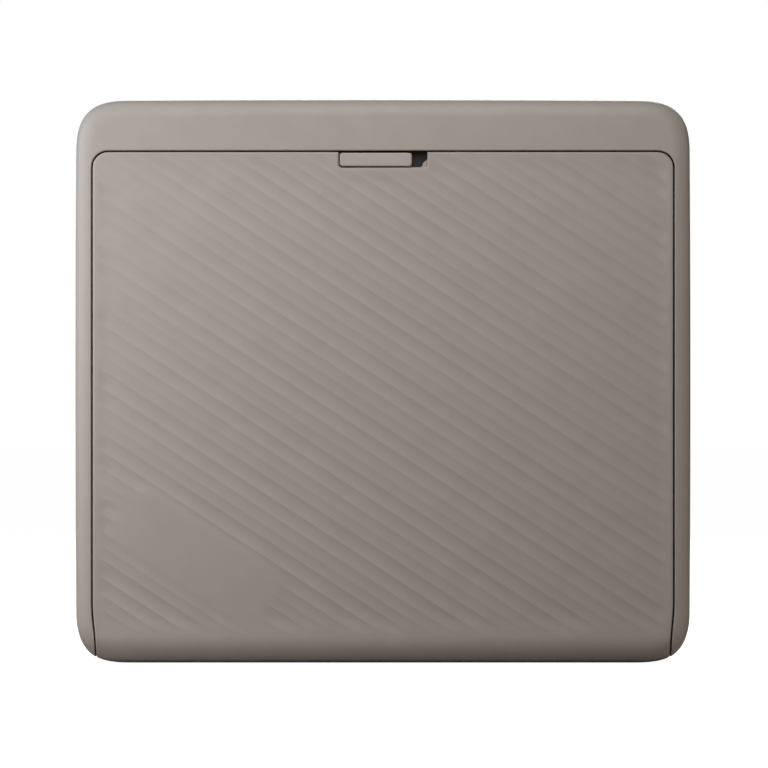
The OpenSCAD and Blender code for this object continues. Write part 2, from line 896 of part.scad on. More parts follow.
// The space above the flutes, in [across, out] points.
module flute_section() {
    reach = ceil((door_half + body_h / 2) / flute_period);
    steps = 4;
    widest = max(flute_widths);
    sink = 0.01;
    points = [
        for (k = [-reach : reach])
            for (n = [0 : 3])
                let (
                    w = flute_widths[n],
                    start = flute_start + k * flute_period + flute_sum(n),
                    deep = flute_depth * pow(w / widest, 2)
                )
                for (i = [0 : steps - 1])
                    [start + w * i / steps, -sink - deep * (1 - pow(2 * i / steps - 1, 2))]
    ];
    right = points[len(points) - 1][0];
    left = points[0][0];
    polygon(concat(points, [[right, 1], [left, 1]]));
}

// A low block on the door's face whose edges slope, so that the flutes fade across them.
module sloped_field(size, at, turn, grow) {
    deep = flute_depth + 0.05;
    proud = 0.05;
    slope = grow * flute_fade / deep;
    translate([at[0], front_y, at[1]])
        rotate([0, turn, 0])
            hull() {
                sloped_layer(size, slope * proud, -proud);
                sloped_layer(size, -slope * deep, deep);
            }
}

module sloped_layer(size, more, y) {
    w = size[0] + 2 * more;
    h = size[1] + 2 * more;
    translate([-w / 2, y, -h / 2])
        cube([w, 0.001, h]);
}

module flutes() {
    field_low = hinge_z + 1;
    field_high = door_top - flute_margin;
    difference() {
        intersection() {
            translate([0, front_y, body_h / 2])
                rotate([0, 90 + flute_fall, 0])
                    rotate([180, 0, 0])
                        linear_extrude(2 * body_h, center = true)
                            flute_section();
            sloped_field(
                [2 * (door_half - flute_margin), field_high - field_low],
                [0, (field_high + field_low) / 2], 0, 1
            );
        }
        // Smooth round the latch
        sloped_field([window_w + 3, 2 * window_h + 3], [0, door_top], 0, -1);
        // Smooth patch at the lower left, in line with the flutes
        sloped_field([patch_l, patch_h], [-half_w + 27.6, 24.2], flute_fall, -1);
    }
}

module film_door() {
    knuckle_end = door_half - draw_in - 0.4;
    color([0.58, 0.54, 0.51])
    difference() {
        union() {
            intersection() {
                along_x(-door_half, door_half)
                    door_section();
                door_hole(door_half, door_top, door_corner, front_y - overcut, hinge_y + lip_r);
                across_y(front_y - overcut, hinge_y + lip_r)
                    polygon(outline(0, 0.1, 0));
            }
            // Knuckles on the hinge pins
            both_sides() {
                rod_x(chamber_out_x + 0.3, knuckle_end, [hinge_y, hinge_z], knuckle_r);
                block(
                    [chamber_out_x + 0.3, door_inner - 0.4, hinge_z - knuckle_r],
                    [knuckle_end, hinge_y, hinge_z + knuckle_r]
                );
            }
        }
        both_sides()
            rod_x(chamber_out_x - overcut, door_half + overcut, [hinge_y, hinge_z], hinge_pin_r + run_fit);
        // Window for the thumb piece
        across_y(front_y - overcut, door_inner + overcut) {
            translate([0, door_top - window_h + 5])
                rounded_rect(window_w, 10, 0.8);
        }
        flutes();
    }
}

module door_liner() {
    low = hinge_z + 4.6;
    high = bar_low - 1.2;
    color([0.12, 0.12, 0.13])
    difference() {
        block([-door_half + 1, door_inner, low], [door_half - 1, liner_inner, high]);
        // Lightening windows
        for (x = [-1, 0, 1])
            across_y(door_inner - overcut, liner_inner + overcut)
                translate([x * 40, (low + high) / 2])
                    rounded_rect(14, 60, 3);
    }
}

// Two bowed leaf springs that press the film pack back.
module pack_springs() {
    bow_l = 44;
    bow_h = 2;
    skin = 0.3;
    foot = 3;
    steps = 10;
    mid_z = (chamber_floor + chamber_top) / 2;
    bow = [
        for (i = [0 : steps])
            [liner_inner + bow_h * sin(180 * i / steps), mid_z + bow_l * (i / steps - 0.5)]
    ];
    color([0.7, 0.71, 0.73])
    for (x = [-20, 20])
        along_x(x - 4, x + 4)
            polygon(concat(
                [[liner_inner, mid_z - bow_l / 2 - foot]],
                bow,
                [
                    [liner_inner, mid_z + bow_l / 2 + foot],
                    [liner_inner + skin, mid_z + bow_l / 2 + foot]
                ],
                [for (i = [steps : -1 : 0]) bow[i] + [skin, 0]],
                [[liner_inner + skin, mid_z - bow_l / 2 - foot]]
            ));
}

// Thumb piece, bar and two hooks, moulded as one.
module latch_slider() {
    thumb_left = -window_w / 2 + 0.3;
    thumb_high = door_top - 0.15;
    thumb_low = door_top - window_h + 0.35;
    thumb_front = front_y + 0.2;
    hook_back = chamber_front + 1.3;
    color([0.62, 0.58, 0.55]) {
        across_y(thumb_front, bar_back)
            translate([thumb_left + thumb_w / 2, (thumb_high + thumb_low) / 2])
                rounded_rect(thumb_w, thumb_high - thumb_low, 0.5);
        block([thumb_left - 2, bar_front, bar_low], [plate_half, bar_back, thumb_high]);
        block([-bar_half, bar_front, bar_low], [bar_half, bar_back, bar_high]);
        for (x = [-hook_x, hook_x]) {
            block([x + hook_reach, bar_front, bar_low], [x + hook_reach + hook_w, hook_back, bar_high]);
            block([x - 0.4, hook_back - 1, bar_low], [x + hook_reach + hook_w, hook_back, bar_high]);
        }
    }
}

// Thin straps that hold the latch bar against the door.
module latch_straps() {
    skin = 0.2;
    color([0.7, 0.71, 0.73])
    for (x = strap_xs)
        difference() {
            block([x - 1.5, door_inner, bar_low - 1], [x + 1.5, bar_back + skin + 0.05, bar_high + 1]);
            block([x - 2, door_inner - overcut, bar_low - 0.15], [x + 2, bar_back + 0.05, bar_high + 0.15]);
        }
}

// Flat zigzag spring that pushes the latch back to the left.
module latch_spring() {
    waves = 5;
    pitch = 1.5;
    thick = 0.4;
    x0 = bar_half + 0.1;
    x1 = x0 + waves * pitch;
    color([0.72, 0.73, 0.75])
    across_y(bar_front, bar_back)
        for (i = [0 : waves - 1]) {
            translate([x0 + i * pitch, bar_low])
                square([thick, bar_high - bar_low]);
            translate([x0 + i * pitch, i % 2 == 0 ? bar_low : bar_high - thick])
                square([pitch + (i == waves - 1 ? 0 : thick), thick]);
        }
}

// ---- Rollers and their plates ----

function board_corners() = [
    for (x = [board_left + 3, board_right - 3])
        for (z = [board_low + 3, board_high - 3])
            [x, z]
];
board_screw_r = 0.7;
plate_screws_right = [compound_at + [-6, -8.4], compound_at + [2.4, -10.2]];
plate_screws_left = [press_at + [-3, -16.5], press_at + [4.6, -16.5]];
nip_spring_l = 4.4;

// Holes that both plates share: round for the fixed bush, long for the sprung one.
module nip_holes(x0, x1) {
    rod_x(x0, x1, drive_at, bush_r + push_fit);
    rod_x(x0, x1, press_at, bush_r + push_fit);
    rod_x(x0, x1, press_at - [0.5, 0], bush_r + push_fit);
    block(
        [x0, press_at[0] - bush_flange_r - nip_spring_l - 0.2, roller_z - 1.25],
        [x1, press_at[0], roller_z + 1.25]
    );
}

module roller_plate(low, front, x0) {
    along_x(x0, x0 + plate_skin)
        difference() {
            translate([front, low])
                square([drive_at[0] + 5.4 - front, roller_z + 5.2 - low]);
            // Sloped corner at the top
            translate([front, roller_z + 5.2])
                rotate([0, 0, 45])
                    square([5, 5], center = true);
        }
}

module left_roller_plate() {
    x0 = -plate_x - plate_skin;
    color([0.7, 0.71, 0.73])
    difference() {
        roller_plate(roller_z - 19, press_at[0] - 9, x0);
        nip_holes(x0 - overcut, x0 + plate_skin + overcut);
        for (p = plate_screws_left)
            rod_x(x0 - overcut, x0 + plate_skin + overcut, p, board_screw_r + push_fit);
    }
}

module right_roller_plate() {
    x0 = plate_x;
    x1 = plate_x + plate_skin + overcut;
    color([0.7, 0.71, 0.73])
    difference() {
        roller_plate(roller_z - 27, motor_at[0] - 4.6, x0);
        nip_holes(x0 - overcut, x1);
        for (p = [compound_at, transfer_at, clutch_at])
            rod_x(x0 - overcut, x1, p, stub_r + push_fit);
        rod_x(x0 - overcut, x1, motor_at, 2);
        for (p = plate_screws_right)
            rod_x(x0 - overcut, x1, p, board_screw_r + push_fit);
    }
}

module roller_bushes() {
    color([0.86, 0.84, 0.78])
    both_sides()
        for (at = [drive_at, press_at])
            difference() {
                union() {
                    rod_x(plate_x - 0.9, plate_x + plate_skin + 0.2, at, bush_r);
                    rod_x(plate_x - 0.9, plate_x - 0.1, at, bush_flange_r);
                }
                rod_x(plate_x - 2, plate_x + 3, at, journal_r + run_fit);
            }
}

module nip_springs() {
    color([0.75, 0.76, 0.78])
    both_sides()
        translate([plate_x + plate_skin / 2, press_at[0] - bush_flange_r - 0.05, roller_z])
            rotate([90, 0, 0])
                coil(0.9, 0.18, 5, nip_spring_l);
}

module gear_shafts() {
    color([0.75, 0.76, 0.78]) {
        rod_x(plate_x, plate_x + stub_long, compound_at, stub_r);
        rod_x(plate_x, plate_x + stub_short, transfer_at, stub_r);
        rod_x(plate_x, plate_x + stub_long, clutch_at, stub_r);
    }
}

// The driven steel roller, whose journals carry a gear at each end.
module drive_roller() {
    end = layer_a + gear_w + 0.1;
    color([0.78, 0.79, 0.8]) {
        rod_x(-roller_half, roller_half, drive_at, roller_r);
        rod_x(-end, end, drive_at, journal_r);
    }
}

module pressure_roller() {
    color([0.78, 0.79, 0.8]) {
        rod_x(-roller_half, roller_half, press_at, roller_r);
        rod_x(-layer_a - gear_w - 0.1, plate_x + plate_skin + 0.3, press_at, journal_r);
    }
}

module drive_gear() {
    color([0.9, 0.89, 0.85])
    spur_gear(drive_teeth, layer_a, gear_w, drive_at, journal_r + push_fit, drive_phase);
}

module drive_nip_gear() {
    color([0.9, 0.89, 0.85])
    spur_gear(nip_teeth, -layer_a - gear_w, gear_w, drive_at, journal_r + push_fit, 0);
}

module pressure_nip_gear() {
    color([0.9, 0.89, 0.85])
    spur_gear(nip_teeth, -layer_a - gear_w, gear_w, press_at, journal_r + push_fit, press_phase);
}

module motor() {
    end = plate_x - 0.7;
    color([0.7, 0.71, 0.73])
    difference() {
        union() {
            rod_x(end - motor_l, end, motor_at, motor_d / 2);
            rod_x(end - motor_l - 1, end, motor_at, 1.6);
            rod_x(end, plate_x + 0.6, motor_at, 1.98);
        }
        rod_x(end - 3, plate_x + 2, motor_at, 0.55);
    }
}

module motor_pinion() {
    color([0.8, 0.66, 0.36]) {
        spur_gear(motor_teeth, layer_b, gear_w, motor_at, 0.5, motor_phase);
        rod_x(plate_x - 3, layer_b + gear_w, motor_at, 0.5);
    }
}

module compound_gear() {
    color([0.9, 0.89, 0.85]) {
        spur_gear(compound_teeth, layer_b, gear_w, compound_at, stub_r + run_fit, 0);
        spur_gear(step_teeth, layer_a, gear_w + layer_gap, compound_at, stub_r + run_fit, step_phase);
    }
}

module transfer_gear() {
    color([0.9, 0.89, 0.85])
    spur_gear(idler_teeth, layer_a, gear_w, transfer_at, stub_r + run_fit, transfer_phase);
}

module clutch_gear() {
    color([0.9, 0.89, 0.85])
    spur_gear(idler_teeth, layer_a, gear_w, clutch_at, stub_r + run_fit, clutch_phase);
}

// ---- Film claw ----

module claw_pinion() {
    color([0.2, 0.2, 0.21])
    spur_gear(claw_teeth, layer_b, gear_w, clutch_at, stub_r + run_fit, 0);
}

// Rack teeth point to the front and leave a gap at the pinion's height.
module rack_section(low, high) {
    tip = rack_line - 0.9 * gear_module;
    root = claw_bar_front;
    play = gear_play / 4;
    slope = tan(20);
    first = ceil((low - clutch_at[1]) / rack_pitch);
    last = floor((high - clutch_at[1]) / rack_pitch) - 1;
    for (k = [first : last])
        let (
            mid = clutch_at[1] + (k + 0.5) * rack_pitch,
            at_tip = rack_pitch / 4 - play - (rack_line - tip) * slope,
            at_root = rack_pitch / 4 - play + (root - rack_line) * slope
        )
        polygon([
            [root + 0.1, mid - at_root], [tip, mid - at_tip], [tip, mid + at_tip], [root + 0.1, mid + at_root]
        ]);
}

module claw_slider() {
    back = claw_bar_front + claw_bar_d;
    arm_back = chamber_out_back + 1.9;
    x1 = layer_b + gear_w;
    color([0.2, 0.2, 0.21]) {
        along_x(layer_b, x1)
            rack_section(clutch_at[1] - claw_travel - 5.5, clutch_at[1] + 6);
        block([layer_b, claw_bar_front, claw_z], [x1, back, claw_bar_top]);
        block([layer_b, chamber_out_back + 0.7, claw_z], [x1, back, claw_z + 3]);
        block([claw_x - claw_w / 2, chamber_out_back + 0.7, claw_z], [x1, arm_back, claw_z + 3]);
        block([claw_x - claw_w / 2, claw_tip, claw_z], [claw_x + claw_w / 2, arm_back, claw_z + 2]);
        // Tab that the return spring pulls on
        block([layer_a - 1, claw_bar_front, claw_tab_z], [x1, back, claw_tab_z + 1.4]);
    }
}

// Return spring between the lower guide and the slider's tab.
module claw_spring() {
    low = guide_zs[0] + guide_h + 0.05;
    color([0.75, 0.76, 0.78])
    translate([layer_a + 0.3, claw_bar_front + claw_bar_d / 2, low])
        coil(1, 0.2, 10, claw_tab_z - low - 0.05);
}

// ---- Exposure head and film exit ----

module exposure_head() {
    low = chamber_out_top;
    high = roller_z - roller_r - 0.6;
    front = film_y + 1.4;
    back = inner_back - 1.2;
    half = print_slot_w / 2;
    color([0.15, 0.15, 0.16])
    difference() {
        along_x(-half, half)
            polygon([
                [front, low], [back, low], [back, high - 1.6], [back - 1.6, high],
                [front + 1.2, high], [front, high - 1.2]
            ]);
        // Seat of the rod lens
        block([-half + 2, front - overcut, low + 1.6], [half - 2, front + 4, low + 3.2]);
    }
}

module rod_lens() {
    half = print_slot_w / 2 - 2;
    low = chamber_out_top + 1.6;
    color([0.55, 0.6, 0.66])
    block([-half, film_y + 0.9, low], [half, film_y + 5.4, low + 1.6]);
}

module head_flex() {
    y = board_y + board_skin + 0.5;
    color([0.75, 0.5, 0.16])
    block([-34, y, board_high - 3], [-16, y + 0.2, chamber_out_top]);
}

module print_slot_seals() {
    seal_h = 2.8;
    seal_d = 3.8;
    gap = 1.2;
    color([0.06, 0.06, 0.06])
    for (y = [film_y - gap / 2 - seal_d, film_y + gap / 2])
        block(
            [-print_slot_w / 2 - 1, y, inner_top - 0.1 - seal_h],
            [print_slot_w / 2 + 1, y + seal_d, inner_top]
        );
}

// ---- Electronics ----

module main_board() {
    notch_z = (board_low + board_high) / 2 - 5;
    color([0.08, 0.3, 0.16])
    difference() {
        block([board_left, board_y, board_low], [board_right, board_y + board_skin, board_high]);
        for (p = board_corners())
            rod_y(board_y - overcut, board_y + board_skin + overcut, p, board_screw_r + 0.1);
        // Notch for the battery's lead
        block(
            [board_right - 3, board_y - overcut, notch_z],
            [board_right + 1, board_y + board_skin + overcut, notch_z + 6]
        );
    }
}

// Parts on the board as [x, z, width, height, depth].
module board_parts() {
    top = board_y + board_skin;
    mid = (board_low + board_high) / 2 - 3;
    high = board_high;
    parts = [
        [-38, mid, 12, 12, 1.2], [-38, mid - 16, 9, 8, 1], [-20, mid - 18, 14, 16, 1.8],
        [-22, mid + 4, 6, 6, 2.4], [-12, mid + 6, 5, 5, 2.4], [-40, high - 20, 7, 5, 1],
        [-10, high - 18, 5, 7, 2.6], [-34, high - 10, 18, 3, 0.5], [-26, board_low + 6, 4, 3, 1],
        [-36, board_low + 8, 3, 2, 0.8]
    ];
    color([0.16, 0.16, 0.18])
    for (p = parts)
        block([p[0], top, p[1]], [p[0] + p[2], top + p[4], p[1] + p[3]]);
}

module battery_pack() {
    r = 2.2;
    color([0.62, 0.64, 0.68])
    translate([(battery_left + battery_right) / 2, 0, 0])
        translate([0, chamber_out_back + battery_d / 2, battery_low])
            linear_extrude(battery_high - battery_low)
                rounded_rect(battery_right - battery_left, battery_d, r);
}

// Lead from the top of the battery to its connector on the board.
battery_route = [
    [22, 10.6, 0], [22, 10.6, 2], [21, 10.8, 4], [18, 11, 5.4], [13, 11.2, 6], [8, 11.4, 6],
    [3, 11.6, 6], [0, 11.8, 5], [-2, 12, 3], [-3, 12, 0], [-4, 12, -2], [-5, 12, -3]
];

module battery_lead() {
    base = [0, film_y - 4, battery_high];
    color([0.75, 0.12, 0.1])
    wire([for (p = battery_route) base + p], 0.6);
}

// ---- Power button, lights and ports ----

module power_button() {
    flange_x = inner_x - 0.1;
    color([0.62, 0.58, 0.55]) {
        along_x(-half_w + 0.1, -flange_x)
            translate([button_y, button_z])
                rounded_rect(button_w, button_l, button_w / 2 - 0.01);
        along_x(-flange_x, -flange_x + 0.6)
            translate([button_y, button_z])
                rounded_rect(button_w + 1.6, button_l + 1.6, button_w / 2 + 0.79);
    }
}

module light_guide() {
    color([0.92, 0.93, 0.95]) {
        block(
            [-inner_x + 0.05, button_y - 1, lights_low - 1.2],
            [-inner_x + 0.85, button_y + 1, lights_low + (light_count - 1) * light_pitch + 1.2]
        );
        for (i = [0 : light_count - 1])
            rod_x(-half_w, -inner_x + 0.4, [button_y, lights_low + i * light_pitch], 0.6);
    }
}

module indicator_board() {
    x0 = -side_board_x;
    low = lights_low - 5;
    high = button_z + button_l / 2 + 7;
    color([0.08, 0.3, 0.16]) {
        block([x0, button_y - 4, low], [x0 + side_board_skin, button_y + 4, high]);
        // Lamps behind the light guide
        for (i = [0 : light_count - 1])
            block(
                [x0 - 0.7, button_y - 0.6, lights_low + i * light_pitch - 0.5],
                [x0 + 0.1, button_y + 0.6, lights_low + i * light_pitch + 0.5]
            );
    }
}

module power_switch() {
    x0 = -side_board_x;
    top = -inner_x + 0.1 + 0.6 + button_travel + 0.05;
    color([0.2, 0.2, 0.22]) {
        block([top + 0.3, button_y - 1.6, button_z - 2], [x0, button_y + 1.6, button_z + 2]);
        rod_x(top, top + 0.4, [button_y, button_z], 0.8);
    }
}

module usb_board() {
    color([0.08, 0.3, 0.16])
    block([chamber_out_x, usb_y - 0.8, reset_z - 4], [inner_x - 1.15, usb_y, usb_z + usb_w / 2 + 4]);
}

// Steel shell with its tongue, open towards the side of the casing.
module usb_socket() {
    x1 = half_w - 1.2;
    x0 = x1 - 5.8;
    mid = [usb_y + usb_h / 2, usb_z];
    color([0.75, 0.76, 0.78]) {
        difference() {
            along_x(x0, x1)
                translate(mid)
                    rounded_rect(usb_h, usb_w, 0.5);
            along_x(x0 + 0.6, x1 + overcut)
                translate(mid)
                    rounded_rect(usb_h - 0.6, usb_w - 0.6, 0.4);
        }
        block([x0 + 0.3, mid[0] - 0.1, usb_z - 2], [x1 - 1, mid[0] + 0.5, usb_z + 2]);
    }
}

module reset_switch() {
    top = inner_x - 0.2 - 0.5 - reset_travel - 0.05;
    color([0.2, 0.2, 0.22]) {
        block([top - 3.2, usb_y, reset_z - 1.8], [top - 0.3, usb_y + 1.8, reset_z + 1.8]);
        rod_x(top - 0.4, top, [reset_y, reset_z], 0.6);
    }
}

module reset_button() {
    x0 = inner_x - 0.7;
    color([0.2, 0.2, 0.22]) {
        rod_x(x0, half_w - 0.8, [reset_y, reset_z], 0.85);
        rod_x(x0, x0 + 0.5, [reset_y, reset_z], 1.6);
    }
}

// ---- Screws ----

module casing_screws() {
    color([0.35, 0.35, 0.37])
    both_sides()
        for (y = base_screw_ys)
            translate([base_screw_x, y, 0.1])
                screw(5.4);
}

module chamber_screws() {
    color([0.35, 0.35, 0.37])
    both_sides()
        for (z = chamber_screw_zs)
            translate([chamber_screw_x, chamber_back + 0.2, z])
                rotate([-90, 0, 0])
                    screw(5.6);
}

module board_screws() {
    length = 2.6;
    color([0.75, 0.76, 0.78])
    for (p = board_corners())
        translate([p[0], board_y + board_skin + 0.7, p[1]])
            rotate([90, 0, 0])
                screw(length - 0.7, board_screw_r, 1.4, 0.7);
}

// Screws through the roller plates into the chamber's side walls.
module plate_screws() {
    color([0.75, 0.76, 0.78]) {
        for (p = plate_screws_right)
            translate([plate_x + plate_skin + 0.5, p[0], p[1]])
                rotate([0, -90, 0])
                    screw(plate_skin + 0.8, board_screw_r, 1.5, 0.5);
        for (p = plate_screws_left)
            translate([-plate_x - plate_skin - 0.5, p[0], p[1]])
                rotate([0, 90, 0])
                    screw(plate_skin + 0.8, board_screw_r, 1.5, 0.5);
    }
}

front_casing();
rear_casing();
film_chamber();
chamber_bezel();
door_light_seal();
hinge_pins();
film_door();
door_liner();
pack_springs();
latch_slider();
latch_straps();
latch_spring();
left_roller_plate();
right_roller_plate();
roller_bushes();
nip_springs();
gear_shafts();
drive_roller();
drive_gear();
drive_nip_gear();
pressure_roller();
pressure_nip_gear();
motor();
motor_pinion();
compound_gear();
transfer_gear();
clutch_gear();
claw_pinion();
claw_slider();
claw_spring();
exposure_head();
rod_lens();
head_flex();
print_slot_seals();
main_board();
board_parts();
battery_pack();
battery_lead();
power_button();
light_guide();
indicator_board();
power_switch();
usb_board();
usb_socket();
reset_switch();
reset_button();
casing_screws();
chamber_screws();
board_screws();
plate_screws();
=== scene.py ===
import json
import math

import bpy
import numpy as np
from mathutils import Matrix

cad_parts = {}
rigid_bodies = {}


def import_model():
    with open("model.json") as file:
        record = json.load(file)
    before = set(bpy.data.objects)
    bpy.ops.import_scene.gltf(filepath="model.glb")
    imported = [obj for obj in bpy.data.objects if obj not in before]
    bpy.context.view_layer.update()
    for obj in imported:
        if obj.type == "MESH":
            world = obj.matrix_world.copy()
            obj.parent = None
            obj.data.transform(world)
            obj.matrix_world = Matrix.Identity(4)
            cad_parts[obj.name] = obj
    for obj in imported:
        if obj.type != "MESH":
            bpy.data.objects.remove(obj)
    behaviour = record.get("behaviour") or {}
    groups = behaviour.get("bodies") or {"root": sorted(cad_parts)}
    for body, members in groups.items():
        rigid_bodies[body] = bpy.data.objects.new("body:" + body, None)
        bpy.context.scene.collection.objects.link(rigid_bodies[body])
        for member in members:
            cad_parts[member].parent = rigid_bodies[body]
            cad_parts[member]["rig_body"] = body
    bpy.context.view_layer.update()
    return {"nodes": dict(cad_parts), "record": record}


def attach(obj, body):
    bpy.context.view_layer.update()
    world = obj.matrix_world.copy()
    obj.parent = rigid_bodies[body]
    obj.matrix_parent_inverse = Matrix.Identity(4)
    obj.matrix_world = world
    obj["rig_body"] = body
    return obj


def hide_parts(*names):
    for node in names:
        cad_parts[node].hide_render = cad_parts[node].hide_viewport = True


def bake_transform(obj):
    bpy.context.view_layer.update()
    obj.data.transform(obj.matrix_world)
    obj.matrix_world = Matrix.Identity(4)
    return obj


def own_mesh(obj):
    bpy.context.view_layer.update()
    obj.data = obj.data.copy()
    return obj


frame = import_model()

# Finish of a compact printer for wide instant film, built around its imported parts.
# Sizes are in millimetres and become metres in mesh(). X runs right, Y back and Z up.

scene = bpy.context.scene
nodes = frame["nodes"]
slot_of = {part["node"]: part["material_slot"] for part in frame["record"]["subparts"]}
finishes = {}

# The casing. Its halves meet at PARTING_Y, and its sides and top bow outwards by CROWN.
HALF_W, BODY_H, WALL = 69.5, 127.5, 2.0
FRONT_Y, PARTING_Y, BACK_Y = -16.85, 4.0, 16.85
INNER_X, INNER_TOP = HALF_W - WALL, BODY_H - WALL
INNER_FRONT, INNER_BACK = FRONT_Y + WALL, BACK_Y - WALL
CORNER_REACH, CORNER_POWER, CROWN = 12.5, 2.95, 0.25
CORNER_STEPS, SIDE_PARTS = 22, 10
RIM_WIDTH, RIM_DEPTH, BACK_ROUND = 4.0, 2.2, 4.0
PARTING_EDGE, HOLE_EDGE = 0.12, 0.3
CHEEK_X, CHEEK_BACK, CHEEK_HIGH, BASE_FRONT = 64.2, 3.4, 9.098, -8.075
CHAMBER_SCREWS = [(x, z) for x in (-51, 51) for z in (32.0, 96.2)]
BASE_SCREW_X, FRONT_SCREW_Y, REAR_SCREW_Y = (-45, 45), -1.5, 6.8
SLOT_HALF, FILM_Y, SLOT_D = 56.0, 4.0, 5.2

# The door. Its lip wraps round the hinge, and its sides draw in between two heights.
HINGE_Y, HINGE_Z = -10.85, 6.2
LIP_R, LIP_END = 6.0, math.radians(112)
LIP_ROOM = LIP_R + 0.25
HOLE_HALF, HOLE_TOP, HOLE_CORNER = 65.85, 116.0, 3.85
DOOR_HALF, DOOR_TOP, DOOR_CORNER, DOOR_SKIN = 65.5, 115.65, 3.5, 1.9
DRAW_IN, DRAW_FROM, DRAW_TO = 0.65, 14.0, 4.0
KNUCKLE_R, KNUCKLE_NEAR, KNUCKLE_FAR, KNUCKLE_FRONT = 2.4, 61.25, 64.45, -15.35

# The flutes fall to the right, in four widths that repeat. The patch is bare, and lies along them.
FALL = math.radians(33)
FLUTES = (3.29, 2.73, 2.54, 3.43)
FLUTE_START, FLUTE_DEPTH = -0.37, 0.34
PATCH_X, PATCH_Z, PATCH_LENGTH, PATCH_HEIGHT = -41.9, 24.2, 38.0, 12.0

# The latch: its window in the door, the thumb piece, the bar behind it, and its spring.
WINDOW_HALF, WINDOW_LOW = 10.05, 112.1
THUMB_AT, THUMB_W, THUMB_H = (-1.6, 113.975), 16.3, 3.05
BAR_FRONT, BAR_BACK, BAR_LOW, BAR_HIGH = -14.85, -14.35, 109.0, 112.0
ZIGZAG_START, ZIGZAG_END, ZIGZAG_FOLDS, ZIGZAG_PITCH = 50.1, 57.6, 5, 1.5
ZIGZAG_THICK, ZIGZAG_BEND = 0.3, 0.45

# What shows in the sides: button and lights on the left, charging socket and reset on the right.
BUTTON_Y, BUTTON_Z, BUTTON_W, BUTTON_L = -2.0, 88.0, 5.0, 13.0
LIGHTS_LOW, LIGHT_PITCH, LIGHT_COUNT = 55.9, 2.4, 10
USB_Y, USB_Z, USB_W, USB_H = -2.2, 46.0, 7.6, 2.6
RESET_Y, RESET_Z = -1.3, 38.8

CLAW_SPRING_FOOT, CLAW_SPRING_L = (62.9, 12.623, 43.948), 17.0


# ---- Nodes, camera and light ----

def linear(hex_colour):
    """An sRGB colour, written as in a paint program, as the linear values that shaders use."""
    values = [int(hex_colour[i:i + 2], 16) / 255 for i in (1, 3, 5)]
    return [v / 12.92 if v <= 0.04045 else ((v + 0.055) / 1.055) ** 2.4 for v in values] + [1.0]


def add(tree, kind, inputs=(), **settings):
    """A node with its settings. An input is linked if it is given another node's output."""
    node = tree.nodes.new(kind)
    for name, value in settings.items():
        setattr(node, name, value)
    for socket, value in dict(inputs).items():
        if isinstance(value, bpy.types.NodeSocket):
            tree.links.new(value, node.inputs[socket])
        else:
            node.inputs[socket].default_value = value
    return node


def put(name, data):
    """A new object in the scene."""
    made = bpy.data.objects.new(name, data)
    scene.collection.objects.link(made)
    return made


def aim(thing, place, target):
    """Puts a light, in metres, so that it shines at a point."""
    thing.location = place
    way = [t - p for t, p in zip(target, place)]
    flat = math.hypot(way[0], way[1])
    thing.rotation_euler = (math.atan2(flat, -way[2]), 0, math.atan2(-way[0], way[1]))


def make_camera():
    """A long lens straight in front, level with the printer's middle, which hides its sides."""
    scene.camera = put("camera", bpy.data.cameras.new("camera"))
    scene.camera.data.lens = 248.9
    scene.camera.location = (0.00023, -1.21485, 0.0633)
    scene.camera.rotation_euler = (math.radians(90), 0, 0)


# Each soft box: its colour, power in watts, width in metres, place and target. The first three
# stand close to the upper left of the face, so that it grows darker down and to the right. The
# last one lights the back and the side.
SOFT_BOXES = {
    "upper_box": ("#fcfffb", 0.29, 0.15, (0, -0.20, 0.24), (0, -0.01, 0.07)),
    "left_box": ("#e8f3ff", 0.123, 0.10, (-0.16, -0.08, 0.12), (0, -0.01, 0.06)),
    "low_left_box": ("#fffcf2", 0.038, 0.10, (-0.16, -0.08, 0.04), (0, -0.01, 0.05)),
    "front_box": ("#ffe8db", 0.8, 0.70, (-0.20, -1.30, 0.35), (0, 0, 0.06)),
    "back_box": ("#fffaf4", 6.0, 0.50, (0.20, 0.74, 0.45), (0, 0, 0.06)),
}
# The room's own light, and how bright the room is where the printer mirrors it.
FILL_COLOUR, FILL_STRENGTH, MIRRORED_STRENGTH = "#f8fbff", 0.09, 0.18
FLOOR_COLOUR, FLOOR_GLOW, FLOOR_HALF = "#ada8a3", 0.95, 4000


def make_light():
    """The soft boxes, in a room that is dim for the printer and white for the camera."""
    for name, (colour, power, width, place, target) in SOFT_BOXES.items():
        lamp = bpy.data.lights.new(name, "AREA")
        lamp.shape, lamp.size, lamp.energy = "SQUARE", width, power
        lamp.color = linear(colour)[:3]
        holder = put(name, lamp)
        holder.visible_camera = False
        aim(holder, place, target)
    world = bpy.data.worlds.new("studio")
    scene.world = world
    world.use_nodes = True
    tree = world.node_tree
    fill = tree.nodes["Background"]
    fill.inputs["Color"].default_value = linear(FILL_COLOUR)
    seen = add(tree, "ShaderNodeBackground", {"Color": (1, 1, 1, 1), "Strength": 1.0})
    ray = add(tree, "ShaderNodeLightPath").outputs
    strength = add(tree, "ShaderNodeMath", {
        0: ray["Is Glossy Ray"], 1: MIRRORED_STRENGTH - FILL_STRENGTH, 2: FILL_STRENGTH},
        operation="MULTIPLY_ADD")
    tree.links.new(strength.outputs[0], fill.inputs["Strength"])
    mix = add(tree, "ShaderNodeMixShader", {
        0: ray["Is Camera Ray"], 1: fill.outputs[0], 2: seen.outputs[0]})
    tree.links.new(mix.outputs[0], tree.nodes["World Output"].inputs["Surface"])
    scene.view_settings.view_transform = "Standard"


